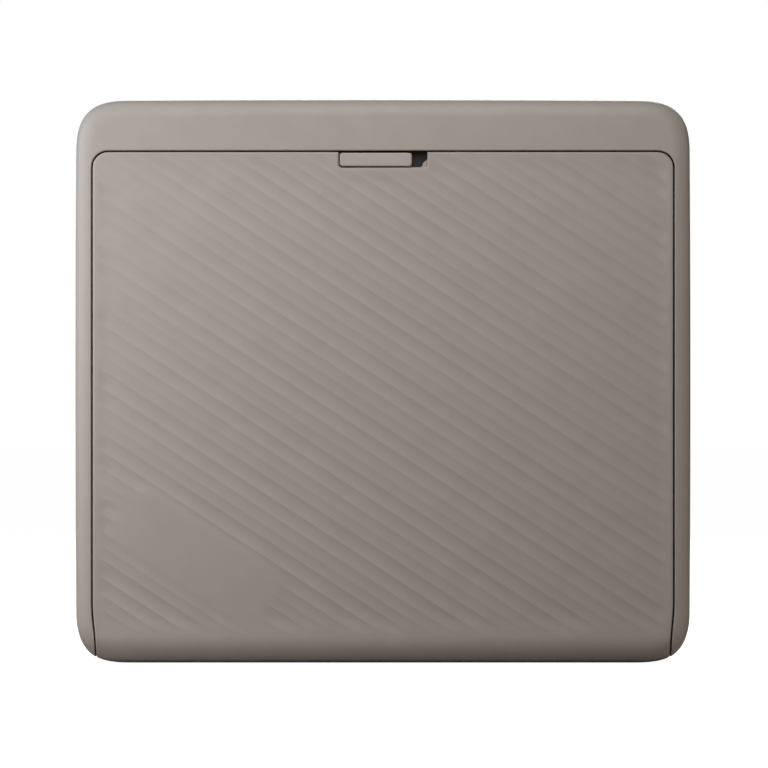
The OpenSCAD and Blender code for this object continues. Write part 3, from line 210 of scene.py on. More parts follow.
def make_floor():
    """A pale floor, bright enough to run into the white backdrop, with a faint shadow on it."""
    corners = [(-FLOOR_HALF, -FLOOR_HALF), (FLOOR_HALF, -FLOOR_HALF),
               (FLOOR_HALF, FLOOR_HALF), (-FLOOR_HALF, FLOOR_HALF)]
    floor = mesh("floor", [(x, y, -0.1) for x, y in corners], [(0, 1, 2, 3)])
    # Matt emulsion paint: it spreads light evenly and has almost no sheen.
    paint = material("matte_floor_paint", FLOOR_COLOUR, 0.9, Specular_IOR_Level=0.1,
                     Emission_Color=(1, 1, 1, 1))
    tree = paint.node_tree
    ray = add(tree, "ShaderNodeLightPath")
    glow = add(tree, "ShaderNodeMath", {0: ray.outputs["Is Camera Ray"], 1: FLOOR_GLOW},
               operation="MULTIPLY")
    tree.links.new(glow.outputs[0], tree.nodes["Principled BSDF"].inputs["Emission Strength"])
    floor.data.materials.append(paint)


# ---- Making of meshes ----

def mesh(name, points, faces):
    """A new object from points in millimetres."""
    data = bpy.data.meshes.new(name)
    data.from_pydata((np.array(points, float) / 1000).tolist(), [], faces)
    data.update()
    return put(name, data)


def loft(name, rings):
    """A closed solid through rings of points, turned so that its faces point outwards."""
    count, last = len(rings[0]), len(rings) - 1
    points = np.array([p for ring in rings for p in ring], float)
    faces = [tuple(range(count))[::-1], tuple(range(last * count, (last + 1) * count))]
    for k in range(last):
        for i in range(count):
            a, b = k * count + i, k * count + (i + 1) % count
            faces.append((a, b, b + count, a + count))
    volume = 0.0
    for face in faces:
        p = points[list(face)]
        volume += sum(np.dot(p[0], np.cross(p[i], p[i + 1])) for i in range(1, len(p) - 1))
    if volume < 0:
        faces = [face[::-1] for face in faces]
    return mesh(name, points, faces)


def plain(piece):
    """The piece's mesh as its modifiers leave it. They are taken off."""
    graph = bpy.context.evaluated_depsgraph_get()
    graph.update()
    result = bpy.data.meshes.new_from_object(piece.evaluated_get(graph), depsgraph=graph)
    piece.modifiers.clear()
    return result


def carve(piece, tools, operation="DIFFERENCE"):
    """Cuts, joins or trims a piece by tools, which are used up."""
    before = len(piece.data.vertices)
    for solver in ("MANIFOLD", "EXACT"):
        for tool in tools:
            step = piece.modifiers.new("carve", "BOOLEAN")
            step.object, step.operation, step.solver = tool, operation, solver
        result = plain(piece)
        if len(result.vertices) not in (0, before):
            break
        print("carve: solver", solver, "left", piece.name, "as it was")
    piece.data = result
    for tool in tools:
        bpy.data.objects.remove(tool)
    return piece


def shade(piece, angle):
    """Smooth shading between sharp edges, led by the large faces."""
    piece.data.shade_smooth()
    piece.data.set_sharp_from_angle(angle=math.radians(angle))
    step = piece.modifiers.new("weighted", "WEIGHTED_NORMAL")
    step.keep_sharp = True
    piece.data = plain(piece)


def stand_back(radius, depth):
    """How far a rounding stands back at a depth from the face."""
    return 0.0 if depth >= radius else radius - math.sqrt(radius ** 2 - (radius - depth) ** 2)


def rim_inset(depth):
    """How far the front's soft rim stands back: a quarter ellipse, wider than it is deep."""
    return RIM_WIDTH / RIM_DEPTH * stand_back(RIM_DEPTH, depth)


def across_y(u, v, w):
    return (u, w, v)


def along_x(u, v, w):
    return (w, u, v)


def along_z(u, v, w):
    return (u, v, w)


def prism(outline, place, start, end):
    """A straight bar with an outline of (u, v) points, laid along the axis that place() gives."""
    return loft("tool", [[place(u, v, w) for u, v in outline] for w in (start, end)])


def edged_prism(outline_at, place, start, end, edge, name="tool", steps=5):
    """A bar with a quarter round at its start. outline_at(grow) is its outline, grown by grow.

    A negative edge rounds the bar off. A positive one widens its mouth, for a cutter that
    leaves a rounded edge where it enters."""
    way = 1 if end > start else -1
    rings = [(start - way, edge)] if edge > 0 else []
    for a in [math.pi / 2 * i / steps for i in range(steps + 1)]:
        rings.append((start + way * abs(edge) * (1 - math.cos(a)), edge * (1 - math.sin(a))))
    rings.append((end, 0.0))
    return loft(name, [[place(u, v, w) for u, v in outline_at(grow)] for w, grow in rings])


def edged_rect(at, width, height, radius, *laid, **more):
    """Such a bar whose outline is a rectangle with rounded corners."""
    return edged_prism(lambda grow: rounded_rect(at, width, height, radius, grow), *laid, **more)


def rounded_rect(at, width, height, radius, grow=0.0, steps=8):
    """The outline of a rectangle with rounded corners, as (u, v) points."""
    half_w, half_h = width / 2 + grow, height / 2 + grow
    radius = min(max(radius + grow, 0.01), half_w, half_h)
    points = []
    for k, (su, sv) in enumerate(((1, 1), (-1, 1), (-1, -1), (1, -1))):
        for i in range(steps + 1):
            a = math.pi / 2 * (k + i / steps)
            points.append((at[0] + su * (half_w - radius) + radius * math.cos(a),
                           at[1] + sv * (half_h - radius) + radius * math.sin(a)))
    return points


def block(low, high):
    """A box between two corners."""
    outline = [(low[0], low[1]), (high[0], low[1]), (high[0], high[1]), (low[0], high[1])]
    return prism(outline, along_z, low[2], high[2])


def rod(place, at, radius, start, end, sides=48):
    """A round bar."""
    outline = [(at[0] + radius * math.cos(2 * math.pi * i / sides),
                at[1] + radius * math.sin(2 * math.pi * i / sides)) for i in range(sides)]
    return prism(outline, place, start, end)


def both_sides(near, far):
    """The stretches of X between two distances from the middle, on the left and the right."""
    return (-far, -near), (near, far)


def mirrored(right):
    """An outline's right side with its left side."""
    return right + [(-x, z) for x, z in right[::-1]]


def headings(line):
    """The direction of a line at each of its points."""
    ways = np.gradient(line, axis=0)
    return ways / np.linalg.norm(ways, axis=1)[:, None]


def start_tree(name, **inputs):
    """A Geometry Nodes tree, and its named inputs as outputs of its first node.

    inputs gives the names of the inputs of each kind."""
    tree = bpy.data.node_groups.new(name, "GeometryNodeTree")
    tree.interface.new_socket("Geometry", in_out="OUTPUT", socket_type="NodeSocketGeometry")
    for kind, labels in inputs.items():
        for label in labels:
            tree.interface.new_socket(label, in_out="INPUT", socket_type="NodeSocket" + kind)
    tree.interface.new_socket("Material", in_out="INPUT", socket_type="NodeSocketMaterial")
    return tree, add(tree, "NodeGroupInput").outputs


def end_tree(tree, source, geometry):
    """Makes a tree's instances real and gives them its material."""
    real = add(tree, "GeometryNodeRealizeInstances", {"Geometry": geometry})
    dressed = add(tree, "GeometryNodeSetMaterial", {
        "Geometry": real.outputs[0], "Material": source["Material"]})
    add(tree, "NodeGroupOutput", {"Geometry": dressed.outputs[0]})
    return tree


def grown(piece, tree, slot, lengths, **others):
    """Turns a piece's mesh into what a Geometry Nodes tree makes of it, as a plain mesh."""
    values = {name: length / 1000 for name, length in lengths.items()}
    values.update(others, Material=finishes[slot])
    step = piece.modifiers.new("grow", "NODES")
    step.node_group = tree
    for item in tree.interface.items_tree:
        if item.in_out == "INPUT" and item.name in values:
            step[item.identifier] = values[item.name]
    piece.data.update()
    piece.data = plain(piece)
    return piece


# ---- Finishes ----

def material(name, colour, roughness, **sockets):
    """A material on the main shader, with what is the same all over it set on its sockets."""
    made = bpy.data.materials.new(name)
    made.use_nodes = True
    shader = made.node_tree.nodes["Principled BSDF"]
    shader.inputs["Base Color"].default_value = linear(colour)
    shader.inputs["Roughness"].default_value = roughness
    for socket, value in sockets.items():
        shader.inputs[socket.replace("_", " ")].default_value = value
    return made


def pattern(made, kind, inputs, output="Fac", **mapping):
    """A texture laid over the piece in its own coordinates."""
    tree = made.node_tree
    place = add(tree, "ShaderNodeTexCoord")
    turned = add(tree, "ShaderNodeMapping", {"Vector": place.outputs["Object"], **mapping})
    return add(tree, kind, {"Vector": turned.outputs["Vector"], **inputs}).outputs[output]


def cloud(made, size_mm, detail=2.0, stretch=(1, 1, 1)):
    """A noise over the piece, whose blotches are about size_mm across."""
    return pattern(made, "ShaderNodeTexNoise", Scale=stretch, inputs={
        "Scale": 1000 / size_mm, "Detail": detail, "Roughness": 0.6})


def vary(made, pattern, tones=None, shine=None, relief=None, ends=(0.3, 0.7)):
    """Lets a finish follow a pattern between its ends.

    tones are two colours, shine two roughnesses, and relief a height in mm and its strength."""
    tree = made.node_tree
    shader = tree.nodes["Principled BSDF"].inputs
    if tones:
        ramp = add(tree, "ShaderNodeValToRGB", {"Fac": pattern})
        for stop, position, tone in zip(ramp.color_ramp.elements, ends, tones):
            stop.position, stop.color = position, linear(tone)
        tree.links.new(ramp.outputs["Color"], shader["Base Color"])
    if shine:
        spread = add(tree, "ShaderNodeMapRange", {
            "Value": pattern, "From Min": ends[0], "From Max": ends[1],
            "To Min": shine[0], "To Max": shine[1]})
        tree.links.new(spread.outputs["Result"], shader["Roughness"])
    if relief:
        bump = add(tree, "ShaderNodeBump", {
            "Height": pattern, "Distance": relief[0] / 1000, "Strength": relief[1]})
        tree.links.new(bump.outputs["Normal"], shader["Normal"])


def make_finishes():
    """One finish for each slot of the record."""
    # ABS from a spark-eroded mould: an even satin with a grain of 0.05 mm, drawn at 0.3 mm so
    # that it shows.
    finishes["casing_plastic"] = made = material("moulded_abs_mocha", "#b1a69e", 0.5, IOR=1.53)
    vary(made, cloud(made, 6.0, 3.0), tones=("#afa49c", "#b3a8a0"))
    vary(made, cloud(made, 0.3), shine=(0.46, 0.56), relief=(0.004, 0.5))

    # The same ABS from a smoother mould, so the thumb piece and the button shine a little more.
    finishes["button_plastic"] = made = material("moulded_abs_mocha_fine", "#b7aca4", 0.42,
                                                 IOR=1.53)
    vary(made, cloud(made, 4.0, 3.0), tones=("#b5aaa2", "#b9aea6"))
    vary(made, cloud(made, 0.2), shine=(0.38, 0.46), relief=(0.002, 0.5))

    # Carbon-filled ABS, grained against stray light: near black with a dull sparkle.
    finishes["black_plastic"] = made = material("moulded_abs_black", "#1b1b1c", 0.6, IOR=1.53)
    vary(made, cloud(made, 3.0, 3.0), tones=("#171718", "#1f1f20"))
    vary(made, cloud(made, 0.35), shine=(0.52, 0.68), relief=(0.012, 0.7))

    # Polyurethane foam with open cells of 0.4 mm: it drinks light and shows its pores close up.
    finishes["foam"] = made = material("open_cell_foam", "#101010", 0.95, Specular_IOR_Level=0.2)
    cells = pattern(made, "ShaderNodeTexVoronoi", {"Scale": 2500.0}, "Distance")
    vary(made, cells, tones=("#080808", "#1c1c1c"), relief=(0.12, 0.9), ends=(0.0, 0.6))

    # Cold-rolled steel: fine lines, 0.14 mm apart, along the strip it was cut from.
    finishes["steel"] = made = material("rolled_steel", "#b9bbbf", 0.35, Metallic=1.0)
    vary(made, cloud(made, 2.0, 3.0, (0.06, 1, 14)), tones=("#aaacb0", "#c6c8cc"),
         shine=(0.28, 0.42), relief=(0.002, 0.4))

    # Ground and plated steel: lines round the roller, 0.2 mm apart, under a bright plate.
    finishes["roller_steel"] = made = material("ground_plated_steel", "#cdd0d4", 0.16,
                                               Metallic=1.0)
    vary(made, cloud(made, 1.5, 2.0, (7, 0.05, 0.05)), shine=(0.12, 0.24), relief=(0.001, 0.3))

    # Natural acetal: milky, slick and slightly see-through at its edges.
    finishes["white_gear"] = made = material("natural_acetal", "#e9e5da", 0.34, IOR=1.48,
                                             Subsurface_Weight=0.15, Subsurface_Scale=0.001)
    vary(made, cloud(made, 2.0), tones=("#e4dfd3", "#eeeae1"))
    vary(made, cloud(made, 0.25), relief=(0.002, 0.4))

    # Turned brass: fine tool rings, 0.1 mm apart, and a warm shine.
    finishes["brass"] = made = material("turned_brass", "#c9a456", 0.25, Metallic=1.0)
    vary(made, cloud(made, 0.8, 2.0, (8, 1, 1)), tones=("#b8934a", "#d6b264"),
         shine=(0.18, 0.34))

    # Solder mask over copper: the copper shows through as lighter lines in rows 1.6 mm apart.
    finishes["board_green"] = made = material("green_solder_mask", "#155a30", 0.3, IOR=1.5,
                                              Coat_Weight=0.4, Coat_Roughness=0.12)
    tracks = pattern(made, "ShaderNodeTexBrick", {
        "Scale": 160.0, "Mortar Size": 0.06, "Color1": (0, 0, 0, 1), "Color2": (0, 0, 0, 1),
        "Mortar": (1, 1, 1, 1)}, "Color", Rotation=(math.radians(90), 0, 0))
    vary(made, tracks, tones=("#0e4424", "#1c6b3c"), relief=(0.03, 0.5), ends=(0.0, 1.0))

    # Glass-filled resin of chips, gears and switches: dark, dull and faintly speckled.
    finishes["dark_parts"] = made = material("glass_filled_resin", "#2a2a2d", 0.5, IOR=1.55)
    vary(made, cloud(made, 0.15), tones=("#232326", "#333337"), shine=(0.42, 0.58),
         relief=(0.004, 0.5))

    # Aluminium laminate of a pouch cell: soft silver, with shallow creases 5 mm apart.
    finishes["battery_foil"] = made = material("pouch_laminate", "#b4b7bc", 0.34, Metallic=0.85)
    vary(made, cloud(made, 5.0, 4.0), tones=("#a6a9af", "#c0c3c8"), shine=(0.26, 0.42),
         relief=(0.25, 0.5))

    # PVC wire insulation: even red with a waxy gloss.
    finishes["lead_red"] = made = material("red_pvc", "#a8231b", 0.38, IOR=1.53)
    vary(made, cloud(made, 3.0), tones=("#9c1f18", "#b3281f"))
    vary(made, cloud(made, 0.4), relief=(0.01, 0.4))

    # Polyimide film over copper lines 1 mm apart: amber with darker stripes.
    finishes["flex_amber"] = made = material("polyimide_film", "#b9741f", 0.24, IOR=1.7,
                                             Coat_Weight=0.3)
    stripes = pattern(made, "ShaderNodeTexWave", {"Scale": 320.0, "Distortion": 0.0})
    vary(made, stripes, tones=("#8c4f12", "#c98a35"), relief=(0.02, 0.4), ends=(0.35, 0.65))

    # Rows of glass rods, 0.6 mm thick and drawn 1.2 mm apart so that they show, set in resin:
    # a grey-blue bar with fine ribs.
    finishes["lens_glass"] = made = material("rod_lens_glass", "#8f9aa6", 0.08, IOR=1.6,
                                             Transmission_Weight=0.5)
    rods = pattern(made, "ShaderNodeTexWave", {"Scale": 260.0, "Distortion": 0.0})
    vary(made, rods, tones=("#7b8794", "#a3aeb9"), relief=(0.05, 0.5), ends=(0.2, 0.8))

    # Frosted acrylic: it spreads the lamps' light and shows as a milky dot in the casing.
    finishes["clear_guide"] = made = material("frosted_acrylic", "#e6e8ec", 0.3, IOR=1.49,
                                              Transmission_Weight=0.45)
    vary(made, cloud(made, 0.2), shine=(0.24, 0.4), relief=(0.004, 0.5))

    # Steel with a black conversion coat: dark, and brighter where a driver has rubbed.
    finishes["screw_black"] = made = material("blackened_steel", "#3a3a3d", 0.4, Metallic=0.9)
    worn = cloud(made, 0.8, 3.0)
    vary(made, worn, tones=("#2c2c2f", "#56565a"), ends=(0.35, 0.75))
    vary(made, worn, shine=(0.32, 0.48))


def fit(piece, *replaced, slot=None, angle=30, ends=None):
    """Gives a piece its finish and lets it stand for CAD nodes, on the body that they ride on.

    A piece given ends, a spring between two bodies, is put on no body and does not lengthen: the
    ends, its two bodies and the point where it meets each, are not used."""
    slot = slot or slot_of[replaced[0]]
    shade(piece, angle)
    piece.data.materials.clear()
    piece.data.materials.append(finishes[slot])
    if ends:
        (fixed, foot), (moving, tip) = ends
        [c / 1000 for c in foot]
        [c / 1000 for c in tip]
        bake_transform(piece)
    else:
        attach(piece, nodes[replaced[0]]["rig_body"])
    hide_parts(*replaced)
    return piece


# ---- Casing ----

def corner_curve(reach_x, reach_z):
    """A quarter of the corner, from (0, reach_z) to (reach_x, 0), measured inwards."""
    turns = np.linspace(0, math.pi / 2, CORNER_STEPS + 1)
    reach = (np.cos(turns) ** CORNER_POWER + np.sin(turns) ** CORNER_POWER) ** (-1 / CORNER_POWER)
    return [(reach_x * (1 - r * math.cos(t)), reach_z * (1 - r * math.sin(t)))
            for r, t in zip(reach, turns)]


def casing_outline(inset, low_inset=None, bowed=True):
    """The casing's outline as (x, z) points, moved inwards, with its bowed sides and top."""
    low_inset = inset if low_inset is None else low_inset
    w, top, reach = HALF_W - inset, BODY_H - inset, CORNER_REACH - inset
    low = corner_curve(reach, max(CORNER_REACH - low_inset, 4))
    high = corner_curve(reach, reach)
    corners = [
        [(w - x, low_inset + z) for x, z in low],
        [(-w + x, low_inset + z) for x, z in low[::-1]],
        [(-w + x, top - z) for x, z in high],
        [(w - x, top - z) for x, z in high[::-1]],
    ]
    points = []
    for k, corner in enumerate(corners):
        points += corner
        (x0, z0), (x1, z1) = corner[-1], corners[(k + 1) % 4][0]
        points += [(x0 + (x1 - x0) * i / SIDE_PARTS, z0 + (z1 - z0) * i / SIDE_PARTS)
                   for i in range(1, SIDE_PARTS)]
    if not bowed:
        return points
    bent = []
    for x, z in points:
        up, out = 2 * z / BODY_H - 1, x / HALF_W
        bent.append((x - CROWN * up * up * out, z - CROWN * out * out * max(up, 0)))
    return bent


def ring_at(y, *insets):
    """The casing's outline at a depth."""
    return [(x, y, z) for x, z in casing_outline(*insets)]


def inner_bar(inset, y0, y1):
    """A bar that fills the casing's outline up to an inset."""
    return prism(casing_outline(inset, bowed=False), across_y, y0, y1)


def drawn_in(z):
    """How far the door's side has drawn in at a height."""
    t = min(max((DRAW_FROM - z) / (DRAW_FROM - DRAW_TO), 0), 1)
    return DRAW_IN * t * t * (3 - 2 * t)


def hole_side(grow, high, steps):
    """The right side of the door's opening, from below the printer up to a height."""
    return [(HOLE_HALF + grow - drawn_in(z), z) for z in [-3, *np.linspace(DRAW_TO, high, steps)]]


def hole_outline(grow):
    """The opening that the door fills, as (x, z) points."""
    half, high, radius = HOLE_HALF + grow, HOLE_TOP + grow, HOLE_CORNER + grow
    arc = [(half - radius * (1 - math.cos(a)), high - radius * (1 - math.sin(a)))
           for a in np.linspace(0, math.pi / 2, 13)]
    return mirrored(hole_side(grow, DRAW_FROM, 13) + arc)


def channel_outline(grow):
    """The lower end of that opening, which reaches under the printer for the door's lip."""
    return mirrored(hole_side(grow, CHEEK_HIGH, 8))


def base_screw_tools(y):
    """Cutters for the screw holes in the base: a counterbore and a bore for each."""
    tools = []
    for x in BASE_SCREW_X:
        tools.append(edged_rect((x, y), 4.2, 4.2, 2.1, along_z, 0, 1.2, 0.2))
        tools.append(rod(along_z, (x, y), 1.1, 0.5, WALL + 1))
    return tools


def print_slot_tool():
    """A cutter for the slot in the top that the print leaves by."""
    return edged_rect((0, FILM_Y), 2 * SLOT_HALF, SLOT_D, 0.4, along_z,
                      BODY_H - 0.08, INNER_TOP - 1, 0.4)


def make_front_shell():
    """The front of the casing, round the door, with fine roundings at every edge that shows."""
    depths = [RIM_DEPTH * (1 - math.cos(math.radians(a))) for a in range(0, 91, 6)]
    depths += [HINGE_Z * (1 - math.cos(math.radians(a))) for a in (57, 63, 69, 76, 83, 90)]
    depths.append(PARTING_Y - FRONT_Y - PARTING_EDGE)
    rings = [ring_at(FRONT_Y + d, rim_inset(d), stand_back(HINGE_Z, d)) for d in depths]
    rings.append(ring_at(PARTING_Y, PARTING_EDGE))
    shell = loft("front_shell", rings)

    # The wall stays thick in the two lower corners, where it carries the hinge pins.
    cheeks = [block((a, INNER_FRONT - 1, -1), (b, HINGE_Y + CHEEK_BACK, CHEEK_HIGH))
              for a, b in both_sides(CHEEK_X, HALF_W)]
    carve(shell, [carve(inner_bar(WALL, INNER_FRONT, PARTING_Y + 1), cheeks)])

    # Two posts hold the board behind the lights, and two ribs stiffen each side wall.
    posts = [rod(along_x, (BUTTON_Y, z), 1.5, -INNER_X - 0.1, -65.2)
             for z in (LIGHTS_LOW - 3, 99.5)]
    ribs = [block((a, -10, z), (b, 1, z + 1))
            for a, b in both_sides(INNER_X - 0.6, INNER_X + 0.1) for z in (20, 28)]
    carve(shell, posts + ribs, "UNION")

    left, right = (-HALF_W, -INNER_X + 1), (HALF_W, INNER_X - 1)
    tools = [
        edged_prism(hole_outline, across_y, FRONT_Y, INNER_FRONT + 0.01, HOLE_EDGE),
        edged_prism(channel_outline, across_y, FRONT_Y, BASE_FRONT, HOLE_EDGE),
        rod(along_x, (HINGE_Y, HINGE_Z), LIP_ROOM, -HOLE_HALF + DRAW_IN, HOLE_HALF - DRAW_IN, 96),
        rod(along_x, (HINGE_Y, HINGE_Z), 1.02, -INNER_X - 0.1, INNER_X + 0.1),
        print_slot_tool(),
        edged_rect((BUTTON_Y, BUTTON_Z), BUTTON_W + 0.3, BUTTON_L + 0.3, 2.65, along_x,
                   left[0] + 0.03, left[1], 0.25),
        edged_rect((USB_Y + USB_H / 2, USB_Z), USB_H + 0.6, USB_W + 0.6, 1.2, along_x,
                   right[0] - 0.02, right[1], 0.3),
        edged_rect((RESET_Y, RESET_Z), 2, 2, 1, along_x, right[0] - 0.03, right[1], 0.15),
    ]
    tools += [edged_rect((BUTTON_Y, LIGHTS_LOW + i * LIGHT_PITCH), 1.3, 1.3, 0.65, along_x,
                         left[0] + 0.01, left[1], 0.1) for i in range(LIGHT_COUNT)]
    carve(shell, tools + base_screw_tools(FRONT_SCREW_Y))
    return fit(shell, "front_casing")


def make_rear_shell():
    """The back of the casing, with its inner lip and the bosses that hold the chamber."""
    rings = [ring_at(PARTING_Y, PARTING_EDGE), ring_at(PARTING_Y + PARTING_EDGE, 0)]
    for a in np.radians(np.linspace(0, 90, 13)):
        inset = BACK_ROUND * (1 - math.cos(a))
        rings.append(ring_at(BACK_Y - BACK_ROUND * (1 - math.sin(a)), inset))
    shell = loft("rear_shell", rings)
    carve(shell, [inner_bar(WALL, PARTING_Y - 1, INNER_BACK)])

    # The lip reaches 1.4 mm into the front half, and stops at the base and the print slot.
    reach = 1.4
    lip = inner_bar(WALL + 0.1, PARTING_Y - reach, PARTING_Y + reach)
    carve(lip, [inner_bar(WALL - 0.2, PARTING_Y, PARTING_Y + reach)], "UNION")
    carve(lip, [
        inner_bar(WALL + 0.8, PARTING_Y - 3, PARTING_Y + 3),
        block((-70, -1, -1), (70, 17, CORNER_REACH)),
        block((-SLOT_HALF - 2, -1, INNER_TOP - 3), (SLOT_HALF + 2, 17, 128)),
    ])
    bosses = [rod(across_y, at, 2.8, 9, INNER_BACK + 0.1) for at in CHAMBER_SCREWS]
    carve(shell, [lip] + bosses, "UNION")
    tools = [rod(across_y, at, 0.97, 7.6, INNER_BACK - 0.6, 24) for at in CHAMBER_SCREWS]
    carve(shell, tools + [print_slot_tool()] + base_screw_tools(REAR_SCREW_Y))
    return fit(shell, "rear_casing")


# ---- Film door ----

def rise(distance, width):
    """A smooth step from 0 to 1 over a width."""
    t = np.clip(distance / width, 0, 1)
    return t * t * (3 - 2 * t)


def flute_strength(x, s):
    """How deep the flutes are pressed at a place on the door's face.

    They fade at its edges, round the latch's window and round the smooth patch."""
    strength = rise(DOOR_HALF - 0.9 - np.abs(x), 2.4) * rise(DOOR_TOP - 0.9 - s, 2.4)
    strength *= rise(s - HINGE_Z - 1, 3.0)
    away = np.hypot(np.maximum(np.abs(x) - WINDOW_HALF, 0), np.maximum(WINDOW_LOW - s, 0))
    strength *= rise(away - 0.8, 2.2)
    along = (x - PATCH_X) * math.cos(FALL) - (s - PATCH_Z) * math.sin(FALL)
    across = (x - PATCH_X) * math.sin(FALL) + (s - PATCH_Z) * math.cos(FALL)
    corner = 3
    away = np.hypot(np.maximum(np.abs(along) - PATCH_LENGTH / 2 + corner, 0),
                    np.maximum(np.abs(across) - PATCH_HEIGHT / 2 + corner, 0))
    return strength * rise(away - corner, 2.6)


def door_sheet():
    """The door's skin laid out flat: points (x, depth, s) and faces. s runs up the face and
    round the lip.

    Its rows run along the flutes, so that each crest is a line of the mesh."""
    # The face ends at an inset, where the edge rounds off. The flutes start above split.
    inset, edge = 0.6, 0.35
    half, top = DOOR_HALF - inset, DOOR_TOP - inset
    low, split = HINGE_Z - LIP_R * LIP_END + inset, HINGE_Z + 0.8
    top_r, low_r = DOOR_CORNER - inset, 0.4
    arcs = [half - top_r * (1 - math.cos(a)) for a in np.radians(range(0, 91, 15))]
    arcs += [half - low_r * (1 - math.cos(a)) for a in np.radians([30, 60, 90])]
    right = np.unique(np.round(np.concatenate([arcs, np.linspace(0, half - top_r, 42)]), 4))
    xs = np.concatenate([-right[::-1], right[1:]])
    past = np.maximum(np.abs(xs) - (half - top_r), 0)
    ends = top - top_r + np.sqrt(np.maximum(top_r ** 2 - past ** 2, 0))
    past = np.maximum(np.abs(xs) - (half - low_r), 0)
    starts = low + low_r - np.sqrt(np.maximum(low_r ** 2 - past ** 2, 0))

    # Rows on each crest, 0.1 mm beside it, and at sixths of the flute.
    beside = 0.1
    across = []
    for k in range(-9, 10):
        start = FLUTE_START + k * sum(FLUTES)
        for width in FLUTES:
            across += [start, start + beside, start + width - beside]
            across += [start + width * i / 6 for i in range(1, 6)]
            start += width
    across = np.sort(across)[::-1]
    fluted = BODY_H / 2 - (across[:, None] + xs[None, :] * math.sin(FALL)) / math.cos(FALL)
    fluted = np.clip(fluted, split, ends[None, :])
    lip = [HINGE_Z - LIP_R * a for a in np.radians(np.arange(104, -1, -4))]
    rows = np.vstack([starts[None, :]] + [np.full((1, len(xs)), s) for s in lip] + [fluted])

    index = np.zeros(rows.shape, int)
    points = []
    for r in range(rows.shape[0]):
        for c in range(rows.shape[1]):
            if r and rows[r, c] - rows[r - 1, c] < 1e-6:
                index[r, c] = index[r - 1, c]
            else:
                index[r, c] = len(points)
                points.append((xs[c], 0.0, rows[r, c]))

    def cells(last):
        """The faces of the rows up to a last one, without those that have no area."""
        made = []
        for r in range(last):
            for c in range(rows.shape[1] - 1):
                ring = [index[r, c], index[r, c + 1], index[r + 1, c + 1], index[r + 1, c]]
                ring = [n for i, n in enumerate(ring) if n != ring[i - 1]]
                if len(ring) > 2:
                    made.append(tuple(ring))
        return made

    def loop(first):
        """The points round the sheet from a first row up."""
        walk = [*index[first, :], *index[first:, -1], *index[-1, ::-1], *index[first:, 0][::-1]]
        return [n for i, n in enumerate(walk) if n != walk[i - 1]]

    # The edge: rings round the face, each moved out and back.
    faces = cells(rows.shape[0] - 1)
    rim = loop(0)
    ways = []
    for n in rim:
        x, _, s = points[n]
        side, turn = abs(x), math.copysign(1, x)
        if side > half - top_r and s > top - top_r:
            way = (turn * (side - half + top_r), s - top + top_r)
        elif side > half - low_r and s < low + low_r:
            way = (turn * (side - half + low_r), s - low - low_r)
        elif side > half - 1e-4:
            way = (turn, 0)
        else:
            way = (0, 1 if s > split else -1)
        length = math.hypot(*way)
        ways.append((way[0] / length, way[1] / length))
    profile = [(inset - edge, 0.0)]
    profile += [(inset - edge * (1 - math.sin(a)), edge * (1 - math.cos(a)))
                for a in np.radians([18, 36, 54, 72, 90])]
    profile += [(inset, DOOR_SKIN - 0.15), (inset - 0.15, DOOR_SKIN), (0.0, DOOR_SKIN)]
    before = rim
    for out, depth in profile:
        ring = []
        for n, way in zip(rim, ways):
            x, _, s = points[n]
            ring.append(len(points))
            points.append((x + way[0] * out, depth, s + way[1] * out))
        for i in range(len(rim)):
            j = (i + 1) % len(rim)
            faces.append((before[j], before[i], ring[i], ring[j]))
        before = ring

    # The inner side: rows round the lip, and one flat face above.
    inner = dict(zip(rim, before))
    lip_rows = len(lip) + 1
    for n in np.unique(index[:lip_rows + 1, :]):
        if n not in inner:
            inner[n] = len(points)
            points.append((points[n][0], DOOR_SKIN, points[n][2]))
    faces += [tuple(inner[n] for n in face[::-1]) for face in cells(lip_rows)]
    faces.append(tuple(inner[n] for n in loop(lip_rows)[::-1]))
    return points, faces


